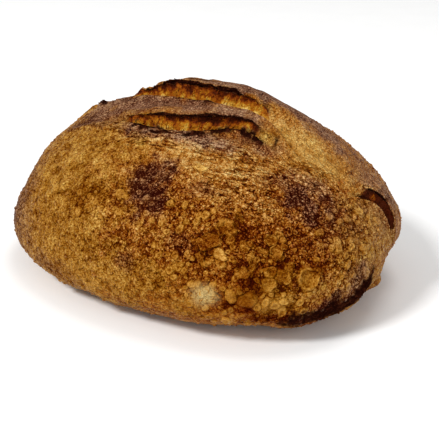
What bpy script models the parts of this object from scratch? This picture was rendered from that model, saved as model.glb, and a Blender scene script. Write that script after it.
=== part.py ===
"""A hearth-baked sourdough loaf: one solid with a flat base and two lengthwise scores.

The loaf lies along X and stands on Z = 0, and its front is -Y. A point of the crust is named by two
numbers. Station runs from -1 at the left end to +1 at the right end. Angle goes round the loaf, in
degrees: 0 is the back, 90 the crown, 180 the front and 270 the middle of the base.

A UV sphere with its poles at the two ends gives the grid. Its meridians are laid along the scores,
so that the ear of each score, which hangs over the torn crumb, follows the grid.
"""

import math

import bmesh
import bpy
from mathutils import Matrix, Vector, noise

# Overall form, in metres.
HALF_LENGTH = 0.120
HALF_WIDTH = 0.095
CROWN_HEIGHT = 0.113  # of the bare dome, before the base is flattened
BELLY_LEVEL = 0.037  # where the loaf is widest
BASE_CUT = 0.008  # how much of the round underside the hearth flattened
BASE_FILLET = 0.004

# How round the loaf is: exponents of 2 give an ellipse, and more gives a fuller shape.
PLAN_POWERS = (2.04, 2.41)
RIDGE_POWERS = (1.80, 2.18)
FRONT_SECTION_POWER = 1.87
BACK_SECTION_POWERS = ((-0.9, 1.95), (-0.3, 2.12), (0.1, 2.10), (0.5, 1.90), (0.9, 1.84))
LOWER_SECTION_POWER = 2.47
UNDERSIDE_RISE_POWER = 0.67

# How uneven it is.
WIDTH_TAPER = 0.13  # the right end is wider
HEIGHT_TAPER = -0.14  # the left half is higher
LEAN_RIGHT = 0.14  # shift along X for each metre of height
LEAN_BACK = 0.10
BOW_BACK = 0.0045
SWELL_DEPTH = 0.0012
SWELL_LENGTH = 0.042
END_STEADINESS = 12.0  # fades the swell out over the last twelfth before each end

# Broad lumps and dents: (middle, reach, outward height), before the base is flattened.
LUMPS = (
    ((0.025, 0.022, 0.112), 0.022, 0.0014),  # knob behind the right end of the main ear
    ((-0.056, 0.000, 0.108), 0.024, 0.0020),  # hump where the strap begins
    ((-0.106, -0.028, 0.058), 0.026, -0.0018),  # hollow below the left shoulder
    ((-0.032, -0.074, 0.012), 0.020, -0.0018),  # along the front foot
    ((0.056, -0.074, 0.014), 0.032, -0.0018),
    ((0.086, -0.063, 0.018), 0.022, 0.0024),
    ((0.121, 0.002, 0.031), 0.016, -0.0050),  # creases and folds of the right end
    ((0.116, -0.022, 0.020), 0.014, -0.0040),
    ((0.119, -0.008, 0.022), 0.009, 0.0022),
    ((0.119, 0.018, 0.028), 0.015, -0.0036),
    ((0.118, 0.036, 0.043), 0.020, 0.0022),
)

# The landmarks of the scored crown: (station, angle) along each line, left to right.
BACK_FOOT_ANGLE = -25.0
FRONT_FOOT_ANGLE = 205.0
MAIN_SCORE_BACK = (
    (-1.0, 88), (-0.62, 86), (-0.43, 87), (-0.28, 89), (0.0, 91), (0.3, 89),
    (0.47, 87), (0.6, 90), (0.74, 92), (0.82, 91), (0.9, 88), (0.96, 88), (1.0, 90),
)
MAIN_SCORE_FRONT = (
    (-1.0, 94), (-0.62, 92), (-0.43, 94), (-0.28, 97), (0.0, 99), (0.12, 98), (0.26, 101),
    (0.34, 102.5), (0.47, 107), (0.6, 113), (0.72, 115), (0.8, 110), (0.87, 101), (0.93, 98),
    (1.0, 98),
)
FRONT_SCORE_BACK = (
    (-1.0, 102), (-0.62, 107), (-0.37, 112.5), (-0.08, 109.5), (0.2, 103.5), (0.33, 104.5),
    (0.45, 109), (0.6, 117), (0.72, 119), (0.84, 113), (1.0, 104),
)
FRONT_SCORE_FRONT = (
    (-1.0, 107), (-0.62, 112), (-0.37, 116.5), (-0.3, 117.6), (-0.15, 119.3), (-0.05, 119),
    (0.04, 116.5), (0.12, 113), (0.2, 109.5), (0.28, 109), (0.36, 110.5), (0.45, 113),
    (0.6, 120), (0.72, 122), (0.84, 117), (1.0, 108),
)
CREASE = (
    (-1.0, 112), (-0.63, 116), (-0.42, 120.5), (-0.13, 123), (0.07, 121.5),
    (0.26, 118.5), (0.45, 119), (0.6, 124), (0.84, 121), (1.0, 112),
)

# How far each score opened, and how high the fold along the crease stands: (station, metres)
# along it. The main score begins with a small flake of its own.
MAIN_EAR_HEIGHT = (
    (-0.82, 0.0), (-0.75, 0.0020), (-0.695, 0.0030), (-0.665, 0.0005), (-0.55, 0.0), (-0.5, 0.0004),
    (-0.45, 0.0026), (-0.38, 0.0046), (-0.3, 0.0078), (-0.2, 0.0098), (-0.1, 0.0093),
    (0.0, 0.0092), (0.15, 0.0090), (0.3, 0.0074), (0.42, 0.0040), (0.55, 0.0010), (0.78, 0.0006),
    (0.86, 0.0045), (0.93, 0.005), (0.98, 0.0025), (1.0, 0.0),
)
MAIN_VALLEY_DEPTH = (
    (-0.46, 0.0), (-0.3, 0.0012), (0.0, 0.0024), (0.3, 0.0018), (0.45, 0.0006),
    (0.75, 0.0004), (0.86, 0.0040), (0.93, 0.0050), (0.98, 0.0020), (1.0, 0.0),
)
FRONT_EAR_HEIGHT = (
    (-0.44, 0.0), (-0.34, 0.0032), (-0.2, 0.0058), (0.0, 0.0062), (0.2, 0.0060),
    (0.33, 0.0048), (0.42, 0.0024), (0.5, 0.0),
)
FRONT_VALLEY_DEPTH = (
    (-0.42, 0.0), (-0.3, 0.0016), (0.0, 0.0024), (0.3, 0.0022), (0.46, 0.0),
)
EAR_BACK_SPREAD = 27.0  # degrees behind an ear over which the raised crust comes down
FRONT_EAR_BACK_SPREAD = 9.0
LIP_HEIGHT = 0.0016  # of the score's near lip
RAGGED_DEPTH = 0.0008  # of the torn edges
RAGGED_LENGTH = 0.005
CREASE_STEP = ((-0.9, 0.0), (-0.65, 0.0012), (0.1, 0.0012), (0.35, 0.0))

# The section of an opened score, row by row from the back of its ear to its near lip: how far
# forward, as a share of the score's width, and how high, as a share of the ear's height. The
# ear's nose hangs forward over the torn crumb, which slopes down from it to a valley.
EAR_SECTION = (
    (0.00, 0.90), (0.20, 0.97), (0.37, 1.03), (0.47, 1.04), (0.51, 0.95), (0.47, 0.84),
    (0.43, 0.68), (0.45, 0.49), (0.52, 0.31), (0.62, 0.15), (0.74, 0.04), (0.86, 0.00),
    (0.95, 0.00), (1.00, 0.00),
)
VALLEY_PLACE = 0.80
VALLEY_REACH = 0.20
OPEN_HEIGHT = 0.005  # an ear this high hangs over its crumb as drawn

# Rows of the grid, in order round the loaf, and stations along it.
BACK_ROWS = 16
MAIN_SCORE_ROWS = 13
STRAP_ROWS = 3
FRONT_SCORE_ROWS = 12
APRON_ROWS = 2
FRONT_ROWS = 15
BASE_ROWS = 11
STATIONS = 66

CRUST_COLOUR = (0.27, 0.11, 0.03, 1.0)
CRUST_ROUGHNESS = 0.62


def through(knots, at):
    """The smooth curve through (place, value) knots, level beyond both ends."""
    if at <= knots[0][0]:
        return knots[0][1]
    if at >= knots[-1][0]:
        return knots[-1][1]
    after = next(i for i, knot in enumerate(knots) if knot[0] > at)
    before = after - 1

    def slope(i):
        low, high = max(i - 1, 0), min(i + 1, len(knots) - 1)
        return (knots[high][1] - knots[low][1]) / (knots[high][0] - knots[low][0])

    (x0, y0), (x1, y1) = knots[before], knots[after]
    span = x1 - x0
    s = (at - x0) / span
    return (
        y0 * (2 * s**3 - 3 * s**2 + 1)
        + y1 * (3 * s**2 - 2 * s**3)
        + slope(before) * span * (s**3 - 2 * s**2 + s)
        + slope(after) * span * (s**3 - s**2)
    )


def end_round(station, powers):
    """1 at the middle of the loaf and 0 at its ends, along a superellipse."""
    inner, outer = powers
    return max(0.0, 1 - abs(station) ** inner) ** (1 / outer)


def signed_power(value, power):
    return math.copysign(abs(value) ** power, value)


def bare_point(station, angle):
    """The crust with no scores, before the base is flattened."""
    turn = math.radians(angle)
    upper = math.sin(turn) >= 0
    if not upper:
        power = 2 / LOWER_SECTION_POWER
    elif math.cos(turn) > 0:
        power = 2 / through(BACK_SECTION_POWERS, station)
    else:
        power = 2 / FRONT_SECTION_POWER
    plan = end_round(station, PLAN_POWERS)
    width = HALF_WIDTH * (1 + WIDTH_TAPER * station) * plan
    if upper:
        ridge = end_round(station, RIDGE_POWERS)
        height = (CROWN_HEIGHT - BELLY_LEVEL) * (1 + HEIGHT_TAPER * station) * ridge
    else:
        height = BELLY_LEVEL * plan**UNDERSIDE_RISE_POWER
    above_belly = signed_power(math.sin(turn), power) * height
    return Vector((
        HALF_LENGTH * station + LEAN_RIGHT * above_belly,
        signed_power(math.cos(turn), power) * width
        + LEAN_BACK * above_belly
        + BOW_BACK * (1 - station**2),
        BELLY_LEVEL + above_belly,
    ))


def surface_frame(station, angle):
    """The bare point, the direction forward across the scores, and the outward direction."""
    small_station, small_angle = 0.004, 0.5
    inside = max(-0.995, min(0.995, station))
    forward = bare_point(inside, angle + small_angle) - bare_point(inside, angle - small_angle)
    along = bare_point(inside + small_station, angle) - bare_point(inside - small_station, angle)
    return (
        bare_point(station, angle),
        forward.normalized(),
        forward.cross(along).normalized(),
    )


def fade(distance, reach):
    """1 at no distance, falling smoothly to 0 at reach."""
    share = min(1.0, abs(distance) / reach)
    return (1 + math.cos(math.pi * share)) / 2


def ear_section(share, width, ear_height, valley_depth):
    """Forward and outward shift of the point at this share of an opened score's rows."""
    rows = len(EAR_SECTION) - 1
    place = through([(i / rows, forward) for i, (forward, _) in enumerate(EAR_SECTION)], share)
    rise = through([(i / rows, height) for i, (_, height) in enumerate(EAR_SECTION)], share)
    openness = min(1.0, ear_height / OPEN_HEIGHT)
    valley = valley_depth * fade(place - VALLEY_PLACE, VALLEY_REACH)
    lip = LIP_HEIGHT * openness * fade(place - 1.0, 0.08)
    return (place - share) * width * openness, rise * ear_height - valley + lip


def score_shift(station, share, back, front, ears, valleys):
    """ear_section for one score, its width found from its two edges and its ear left ragged."""
    lip = bare_point(station, front)
    width = (lip - bare_point(station, back)).length
    ear_height = through(ears, station)
    shift, rise = ear_section(share, width, ear_height, through(valleys, station))
    openness = min(1.0, ear_height / OPEN_HEIGHT)
    tear = RAGGED_DEPTH * noise.noise(lip / RAGGED_LENGTH) * openness * fade(share - 0.3, 0.25)
    return shift + tear, rise + tear


def row_shift(station, band, share, angle, landmarks):
    """Forward and outward shift that the scores and the crease give to a point of the crust."""
    main_back, main_front, front_back, front_front, crease = landmarks
    main_ear = through(MAIN_EAR_HEIGHT, station)
    front_ear = through(FRONT_EAR_HEIGHT, station)
    if band == "main score":
        return score_shift(
            station, share, main_back, main_front, MAIN_EAR_HEIGHT, MAIN_VALLEY_DEPTH
        )
    if band == "front score":
        return score_shift(
            station, share, front_back, front_front, FRONT_EAR_HEIGHT, FRONT_VALLEY_DEPTH
        )
    if band == "back":
        rise = main_ear * EAR_SECTION[0][1] * fade(angle - main_back, EAR_BACK_SPREAD)
    elif band == "strap":
        near_main = LIP_HEIGHT * min(1.0, main_ear / OPEN_HEIGHT) * fade(angle - main_front, 3.0)
        rise = near_main + front_ear * EAR_SECTION[0][1] * fade(
            angle - front_back, FRONT_EAR_BACK_SPREAD
        )
    elif band in ("apron", "front side"):
        lip = LIP_HEIGHT * min(1.0, front_ear / OPEN_HEIGHT) * fade(angle - front_front, 3.0)
        folded = share if band == "apron" else fade(angle - crease, 3.0)
        rise = lip + through(CREASE_STEP, station) * folded
    else:
        rise = 0.0
    return 0.0, rise


def swell(point):
    """Slow unevenness of the hand-shaped dough, outward in metres."""
    return SWELL_DEPTH * noise.noise(point / SWELL_LENGTH)


def lump_height(point):
    """Height of all the broad lumps and dents together at a point of the crust."""
    return sum(
        height * fade((point - Vector(middle)).length, reach) for middle, reach, height in LUMPS
    )


def flatten_base(point):
    """Sets the underside down on Z = 0, with a small round where the flat begins."""
    height = point.z - BASE_CUT
    if height < -BASE_FILLET:
        height = 0.0
    elif height < BASE_FILLET:
        height = (height + BASE_FILLET) ** 2 / (4 * BASE_FILLET)
    return Vector((point.x, point.y, height))


def grid_rows():
    """(band, share of the band) for each row, going round from the back foot."""
    bands = (
        ("back", BACK_ROWS), ("main score", MAIN_SCORE_ROWS), ("strap", STRAP_ROWS),
        ("front score", FRONT_SCORE_ROWS), ("apron", APRON_ROWS), ("front side", FRONT_ROWS),
        ("base", BASE_ROWS),
    )
    return [(band, row / rows) for band, rows in bands for row in range(rows)]


def landmark_angles(station):
    """Where the scores' edges and the crease cross this station, from back to front."""
    lines = (MAIN_SCORE_BACK, MAIN_SCORE_FRONT, FRONT_SCORE_BACK, FRONT_SCORE_FRONT, CREASE)
    return [through(line, station) for line in lines]


def row_angle(band, share, landmarks):
    main_back, main_front, front_back, front_front, crease = landmarks
    low, high = {
        "back": (BACK_FOOT_ANGLE, main_back),
        "main score": (main_back, main_front),
        "strap": (main_front, front_back),
        "front score": (front_back, front_front),
        "apron": (front_front, crease),
        "front side": (crease, FRONT_FOOT_ANGLE),
        "base": (FRONT_FOOT_ANGLE, 360 + BACK_FOOT_ANGLE),
    }[band]
    return low + (high - low) * share


def crust_point(station, band, share):
    """Where the grid's row crosses this station on the finished crust."""
    landmarks = landmark_angles(station)
    angle = row_angle(band, share, landmarks)
    point, forward, outward = surface_frame(station, angle)
    shift, rise = row_shift(station, band, share, angle, landmarks)
    steady = min(1.0, END_STEADINESS * (1 - abs(station)))
    rise += lump_height(point) + swell(point) * steady
    return flatten_base(point + forward * shift + outward * rise)


def crust_material():
    material = bpy.data.materials.new("baked_crust")
    material.use_nodes = True
    shader = material.node_tree.nodes["Principled BSDF"]
    shader.inputs["Base Color"].default_value = CRUST_COLOUR
    shader.inputs["Roughness"].default_value = CRUST_ROUGHNESS
    shader.inputs["Metallic"].default_value = 0.0
    return material


def build_loaf():
    """Lays a sphere's grid over the loaf: ring by ring along X, row by row round it."""
    rows = grid_rows()
    mesh = bmesh.new()
    bmesh.ops.create_uvsphere(mesh, u_segments=len(rows), v_segments=STATIONS, radius=1.0)
    for vertex in mesh.verts:
        from_left_end = math.pi - math.acos(max(-1.0, min(1.0, vertex.co.z)))
        turn = math.atan2(vertex.co.y, vertex.co.x) % (2 * math.pi)
        row = round(turn / (2 * math.pi) * len(rows)) % len(rows)
        vertex.co = crust_point(-math.cos(from_left_end), *rows[row])
    mesh.normal_update()
    bmesh.ops.recalc_face_normals(mesh, faces=mesh.faces)
    low, high = (
        Vector([pick(v.co[axis] for v in mesh.verts) for axis in range(3)]) for pick in (min, max)
    )
    middle = (low + high) / 2
    bmesh.ops.transform(
        mesh, matrix=Matrix.Translation((-middle.x, -middle.y, 0)), verts=mesh.verts
    )
    data = bpy.data.meshes.new("loaf")
    mesh.to_mesh(data)
    mesh.free()
    data.shade_smooth()
    data.materials.append(crust_material())
    loaf = bpy.data.objects.new("loaf", data)
    bpy.context.scene.collection.objects.link(loaf)
    return loaf


def main():
    for old in list(bpy.data.objects):
        bpy.data.objects.remove(old, do_unlink=True)
    build_loaf()


main()
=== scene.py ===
"""The looks of a hearth-baked sourdough loaf: its blistered crust, its two torn scores and its stage.

A point of the crust is named as in the construction. Station runs from -1 at the left end of the
loaf to +1 at its right end, and angle goes round it, in degrees: 0 is the back, 90 the crown, 180
the front and 270 the middle of the base. Lengths are metres.
"""

import math

import bmesh
import bpy
import numpy as np
from mathutils import Matrix, Quaternion, Vector, noise
from mathutils.bvhtree import BVHTree
from mathutils.kdtree import KDTree


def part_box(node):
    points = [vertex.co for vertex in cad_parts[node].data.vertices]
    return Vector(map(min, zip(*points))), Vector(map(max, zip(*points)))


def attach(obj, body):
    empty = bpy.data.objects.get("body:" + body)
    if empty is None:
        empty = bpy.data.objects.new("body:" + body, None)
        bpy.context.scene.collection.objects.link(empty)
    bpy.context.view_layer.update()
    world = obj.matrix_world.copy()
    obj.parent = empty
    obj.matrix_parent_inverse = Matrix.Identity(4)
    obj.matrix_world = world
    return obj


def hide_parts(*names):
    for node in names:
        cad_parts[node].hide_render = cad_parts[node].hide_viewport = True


bl_info = {
    "name": "Sourdough loaf",
    "version": (1, 0, 0),
    "blender": (4, 5, 0),
    "location": "View3D > Sidebar > Loaf",
    "description": "Builds the crust, blisters, torn crumb and burnt edges of a scored hearth loaf",
    "category": "Object",
}

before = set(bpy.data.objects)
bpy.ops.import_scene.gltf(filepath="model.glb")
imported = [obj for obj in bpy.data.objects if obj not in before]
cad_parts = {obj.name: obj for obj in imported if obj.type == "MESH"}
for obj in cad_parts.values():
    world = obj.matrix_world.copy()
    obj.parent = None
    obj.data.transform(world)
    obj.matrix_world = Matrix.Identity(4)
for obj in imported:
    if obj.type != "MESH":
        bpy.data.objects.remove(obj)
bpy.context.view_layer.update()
CAD_LOW, CAD_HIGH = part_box("loaf")

# The loaf's form, as its solid has it.
HALF_LENGTH = 0.120
HALF_WIDTH = 0.095
CROWN_HEIGHT = 0.113
BELLY_LEVEL = 0.037
BASE_CUT = 0.008
BASE_FILLET = 0.004
PLAN_POWERS = (2.04, 2.41)
RIDGE_POWERS = (1.80, 2.18)
FRONT_SECTION_POWER = 1.87
BACK_SECTION_POWERS = ((-0.9, 1.95), (-0.3, 2.12), (0.1, 2.10), (0.5, 1.90), (0.9, 1.84))
LOWER_SECTION_POWER = 2.47
UNDERSIDE_RISE_POWER = 0.67
WIDTH_TAPER = 0.13
HEIGHT_TAPER = -0.14
LEAN_RIGHT = 0.14
LEAN_BACK = 0.10
BOW_BACK = 0.0045
SWELL_DEPTH = 0.0012
SWELL_LENGTH = 0.042
END_STEADINESS = 12.0
LUMPS = (
    ((0.025, 0.022, 0.112), 0.022, 0.0014),
    ((-0.056, 0.000, 0.108), 0.024, 0.0020),
    ((-0.106, -0.028, 0.058), 0.026, -0.0018),
    ((-0.032, -0.074, 0.012), 0.020, -0.0018),
    ((0.056, -0.074, 0.014), 0.032, -0.0018),
    ((0.086, -0.063, 0.018), 0.022, 0.0024),
    ((0.121, 0.002, 0.031), 0.016, -0.0050),
    ((0.116, -0.022, 0.020), 0.014, -0.0040),
    ((0.119, -0.008, 0.022), 0.009, 0.0022),
    ((0.119, 0.018, 0.028), 0.015, -0.0036),
    ((0.118, 0.036, 0.043), 0.020, 0.0022),
)
BACK_FOOT_ANGLE = -25.0
FRONT_FOOT_ANGLE = 205.0
MAIN_SCORE_BACK = (
    (-1.0, 88), (-0.62, 86), (-0.43, 87), (-0.28, 89), (0.0, 91), (0.3, 89),
    (0.47, 87), (0.6, 90), (0.74, 92), (0.82, 91), (0.9, 88), (0.96, 88), (1.0, 90),
)
MAIN_SCORE_FRONT = (
    (-1.0, 94), (-0.62, 92), (-0.43, 94), (-0.28, 97), (0.0, 99), (0.12, 98), (0.26, 101),
    (0.34, 102.5), (0.47, 107), (0.6, 113), (0.72, 115), (0.8, 110), (0.87, 101), (0.93, 98),
    (1.0, 98),
)
FRONT_SCORE_BACK = (
    (-1.0, 102), (-0.62, 107), (-0.37, 112.5), (-0.08, 109.5), (0.2, 103.5), (0.33, 104.5),
    (0.45, 109), (0.6, 117), (0.72, 119), (0.84, 113), (1.0, 104),
)
FRONT_SCORE_FRONT = (
    (-1.0, 107), (-0.62, 112), (-0.37, 116.5), (-0.3, 117.6), (-0.15, 119.3), (-0.05, 119),
    (0.04, 116.5), (0.12, 113), (0.2, 109.5), (0.28, 109), (0.36, 110.5), (0.45, 113),
    (0.6, 120), (0.72, 122), (0.84, 117), (1.0, 108),
)
CREASE = (
    (-1.0, 112), (-0.63, 116), (-0.42, 120.5), (-0.13, 123), (0.07, 121.5),
    (0.26, 118.5), (0.45, 119), (0.6, 124), (0.84, 121), (1.0, 112),
)
MAIN_EAR_HEIGHT = (
    (-0.82, 0.0), (-0.75, 0.0020), (-0.695, 0.0030), (-0.665, 0.0005), (-0.55, 0.0), (-0.5, 0.0004),
    (-0.45, 0.0026), (-0.38, 0.0046), (-0.3, 0.0078), (-0.2, 0.0098), (-0.1, 0.0093),
    (0.0, 0.0092), (0.15, 0.0090), (0.3, 0.0074), (0.42, 0.0040), (0.55, 0.0010), (0.78, 0.0006),
    (0.86, 0.0045), (0.93, 0.005), (0.98, 0.0025), (1.0, 0.0),
)
MAIN_VALLEY_DEPTH = (
    (-0.46, 0.0), (-0.3, 0.0012), (0.0, 0.0024), (0.3, 0.0018), (0.45, 0.0006),
    (0.75, 0.0004), (0.86, 0.0040), (0.93, 0.0050), (0.98, 0.0020), (1.0, 0.0),
)
FRONT_EAR_HEIGHT = (
    (-0.44, 0.0), (-0.34, 0.0032), (-0.2, 0.0058), (0.0, 0.0062), (0.2, 0.0060),
    (0.33, 0.0048), (0.42, 0.0024), (0.5, 0.0),
)
FRONT_VALLEY_DEPTH = (
    (-0.42, 0.0), (-0.3, 0.0016), (0.0, 0.0024), (0.3, 0.0022), (0.46, 0.0),
)
EAR_BACK_SPREAD = 27.0
FRONT_EAR_BACK_SPREAD = 9.0
LIP_HEIGHT = 0.0016
CREASE_STEP = ((-0.9, 0.0), (-0.65, 0.0012), (0.1, 0.0012), (0.35, 0.0))
EAR_SECTION = (
    (0.00, 0.90), (0.20, 0.97), (0.37, 1.03), (0.47, 1.04), (0.51, 0.95), (0.47, 0.84),
    (0.43, 0.68), (0.45, 0.49), (0.52, 0.31), (0.62, 0.15), (0.74, 0.04), (0.86, 0.00),
    (0.95, 0.00), (1.00, 0.00),
)
VALLEY_PLACE = 0.80
VALLEY_REACH = 0.20
OPEN_HEIGHT = 0.005
BLOOM = (0.29, 0.70)  # stations between which the main score healed over into blistered crust

# The crust's mesh: rows round the loaf, band by band, and rings along it.
BANDS = (
    ("back", 56), ("main score", 36), ("strap", 12), ("front score", 30), ("apron", 8),
    ("front side", 108), ("base", 14),
)
RINGS = 374
UPPER_ROWS = 0.6  # how far apart the front side's rows stand at its top, as a share of even rows
RING_CROWDING = 0.7  # how much closer the rings stand over the scores
# Among these, low carries the painted shade in the crust's hollows, and depth the painted shade on the torn
# crumb under the ears.
CRUST_ATTRIBUTES = (
    "bake", "gold", "mauve", "smoke", "char", "pale", "grain", "wrinkle", "crumb", "depth", "strand", "low",
    "fine", "broad", "flaky",
)

MM_PER_DEGREE = 1.35  # round the loaf, near the scores
BROAD_SIDES = 14  # corners round a broad blister, doubled for one that reaches as far as this:
LARGE_BLISTER = 0.0040
RIM_WIDTH = 0.0011
RIM_SHARES = (0.13, 0.34)  # least and most of a blister's reach that its rim takes up
SHRED_STEPS = 6
SHRED_SIDES = 6
FLAKE_SIDES = 7
FLAKE_SIZES = (0.0004, 0.0011)

# Patches of the crust are (station, angle, reach along, reach across, amount).
# Baked darker (above 0) or lighter (below 0) than the mean:
BAKE_PATCHES = (
    (-0.74, 196, 0.050, 0.040, -0.035),
    (-0.64, 150, 0.040, 0.040, 0.06),
    (-0.30, 130, 0.024, 0.012, 0.06),
    (-0.85, 165, 0.020, 0.040, 0.10),
    (-0.50, 112, 0.040, 0.010, 0.14),
    (-0.28, 190, 0.040, 0.012, 0.14),
    (0.24, 190, 0.040, 0.012, 0.13),
    (-0.05, 186, 0.030, 0.010, 0.06),
    (-0.36, 152, 0.012, 0.010, 0.20),
    (-0.55, 172, 0.030, 0.026, 0.07),
    (-0.18, 101, 0.026, 0.008, 0.10),
    (0.16, 129, 0.028, 0.009, -0.13),
    (0.30, 127, 0.014, 0.007, -0.05),
    (-0.52, 117, 0.034, 0.007, 0.05),
    (-0.20, 121, 0.020, 0.007, 0.04),
    (0.02, 117, 0.026, 0.005, 0.04),
    (0.15, 119.5, 0.020, 0.006, -0.12),
    (0.05, 104, 0.018, 0.004, -0.12),
    (-0.20, 147, 0.016, 0.008, 0.16),
    (-0.38, 144, 0.012, 0.006, 0.12),
    (-0.10, 164, 0.012, 0.008, 0.12),
    (0.06, 149, 0.010, 0.012, 0.10),
    (0.28, 152, 0.022, 0.012, 0.06),
    (0.46, 148, 0.014, 0.008, 0.18),
    (0.60, 158, 0.016, 0.018, 0.14),
    (0.60, 144, 0.010, 0.008, 0.10),
    (0.55, 166, 0.012, 0.010, 0.06),
    (0.48, 173, 0.012, 0.012, 0.18),
    (0.67, 162, 0.010, 0.008, 0.26),
    (0.80, 166, 0.010, 0.008, 0.16),
    (0.33, 158, 0.010, 0.008, 0.15),
    (0.20, 138, 0.010, 0.006, -0.10),
    (0.12, 147, 0.016, 0.005, 0.06),
    (0.11, 140, 0.012, 0.007, 0.14),
    (-0.10, 137, 0.010, 0.008, 0.12),
    (0.45, 143, 0.010, 0.008, 0.13),
    (0.32, 154, 0.012, 0.008, 0.12),
    (0.80, 118, 0.008, 0.008, 0.12),
    (0.85, 173, 0.010, 0.007, -0.20),
    (0.42, 125, 0.010, 0.008, -0.10),
    (0.16, 120, 0.010, 0.004, -0.04),
    (0.72, 142, 0.014, 0.010, 0.12),
    (0.33, 170, 0.012, 0.007, 0.10),
    (0.69, 162, 0.008, 0.007, 0.14),
    (-0.10, 143, 0.020, 0.006, 0.08),
    (-0.20, 172, 0.020, 0.010, 0.06),
    (0.04, 134, 0.010, 0.005, 0.10),
    (0.55, 131, 0.010, 0.006, 0.10),
    (0.55, 112, 0.012, 0.004, 0.14),
    (0.76, 130, 0.014, 0.010, 0.10),
    (-0.30, 134, 0.016, 0.008, -0.04),
    (-0.45, 98, 0.016, 0.006, 0.12),
    (-0.66, 110, 0.010, 0.007, 0.24),
    (-0.70, 100, 0.008, 0.004, 0.16),
    (0.44, 139, 0.014, 0.008, -0.12),
    (-0.11, 151, 0.010, 0.006, 0.10),
    (0.10, 103, 0.016, 0.005, -0.16),
    (0.16, 126, 0.020, 0.007, -0.08),
    (-0.05, 122, 0.045, 0.005, -0.08),
    (0.76, 178, 0.010, 0.008, 0.08),
    (0.66, 180, 0.026, 0.012, 0.12),
    (0.84, 150, 0.012, 0.026, 0.12),
    (0.86, 130, 0.010, 0.010, 0.10),
    (0.40, 150, 0.014, 0.010, 0.10),
    (0.68, 148, 0.020, 0.014, 0.05),
    (0.02, 166, 0.030, 0.014, 0.08),
    (0.20, 168, 0.020, 0.016, 0.06),
    (0.55, 176, 0.008, 0.018, 0.14),
    (0.60, 193, 0.012, 0.008, 0.14),
    (0.40, 96, 0.026, 0.010, -0.12),
    (0.55, 100, 0.024, 0.013, -0.11),
    (0.62, 111, 0.022, 0.010, -0.12),
    (0.74, 105, 0.012, 0.006, -0.10),
    (0.66, 176, 0.012, 0.008, -0.16),
    (0.72, 171, 0.014, 0.008, -0.10),
    (0.42, 180, 0.020, 0.009, -0.10),
    (0.68, 185, 0.014, 0.006, -0.14),
    (0.79, 174, 0.010, 0.008, -0.14),
    (0.334, 108.4, 0.0042, 0.0036, -0.32),
    (0.352, 107.0, 0.0016, 0.0040, 0.20),
    (0.28, 97, 0.010, 0.005, -0.14),
    (-0.18, 184, 0.026, 0.010, -0.11),
    (-0.44, 195, 0.020, 0.006, 0.10),
    (0.90, 130, 0.012, 0.030, -0.06),
    (-0.86, 148, 0.012, 0.050, 0.06),
    (-0.10, 103, 0.050, 0.012, 0.09),
    (0.26, 84, 0.050, 0.010, 0.05),
    (0.92, 174, 0.010, 0.006, -0.06),
    (0.70, 196, 0.016, 0.006, 0.26),
    (0.86, 197, 0.022, 0.009, 0.26),
    (0.45, 60, 0.050, 0.040, 0.05),
    (-0.40, 50, 0.060, 0.060, -0.06),
    (0.25, 15, 0.060, 0.030, 0.14),
    (-0.50, 0, 0.050, 0.040, 0.08),
    (0.00, 270, 0.065, 0.045, 0.16),
    (0.40, 262, 0.030, 0.022, 0.10),
)
# Yellower than the red-brown of the rest:
GOLD_PATCHES = (
    (-0.66, 145, 0.060, 0.070, 1.30),
    (-0.74, 198, 0.055, 0.045, 0.70),
    (-0.35, 180, 0.060, 0.026, 1.10),
    (0.16, 180, 0.050, 0.012, 0.40),
    (0.52, 103, 0.034, 0.016, 0.55),
    (0.334, 108.4, 0.0060, 0.0050, 1.00),
    (0.72, 175, 0.020, 0.012, 0.50),
    (0.92, 140, 0.016, 0.050, 0.60),
    (0.66, 176, 0.012, 0.010, 0.50),
    (-0.50, 30, 0.060, 0.060, 0.70),
    (0.60, 30, 0.040, 0.040, 0.40),
)
# Dull grey-mauve skin, and smoky patches that scorched without turning black:
MAUVE_PATCHES = (
    (-0.35, 101, 0.034, 0.013, 0.95),
    (-0.02, 104, 0.034, 0.012, 0.95),
    (0.22, 104, 0.018, 0.007, 0.60),
    (-0.60, 104, 0.026, 0.014, 0.80),
    (0.16, 74, 0.040, 0.020, 0.85),
    (0.02, 89, 0.026, 0.007, 0.95),
    (0.15, 87, 0.022, 0.007, 0.90),
    (0.24, 84, 0.040, 0.009, 0.80),
    (0.52, 83, 0.030, 0.009, 0.70),
    (0.37, 112, 0.010, 0.008, 0.60),
    (0.48, 76, 0.040, 0.014, 0.60),
    (0.80, 84, 0.030, 0.014, 0.55),
    (0.92, 84, 0.012, 0.024, 0.60),
    (-0.80, 178, 0.026, 0.026, 0.40),
    (-0.92, 150, 0.010, 0.050, 0.60),
    (0.95, 177, 0.012, 0.010, 0.80),
    (-0.82, 138, 0.014, 0.034, 0.30),
    (-0.50, 192, 0.040, 0.008, 0.35),
    (0.80, 128, 0.022, 0.018, 0.30),
    (0.06, 119, 0.040, 0.004, 0.35),
    (-0.25, 119, 0.036, 0.005, 0.80),
    (-0.02, 121.5, 0.060, 0.004, 0.80),
    (-0.50, 112, 0.036, 0.010, 0.50),
    (0.14, 117, 0.030, 0.006, 0.65),
    (0.62, 118, 0.020, 0.007, 0.55),
    (0.22, 137, 0.010, 0.005, 0.35),
    (-0.30, 60, 0.060, 0.030, 0.45),
)
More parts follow.
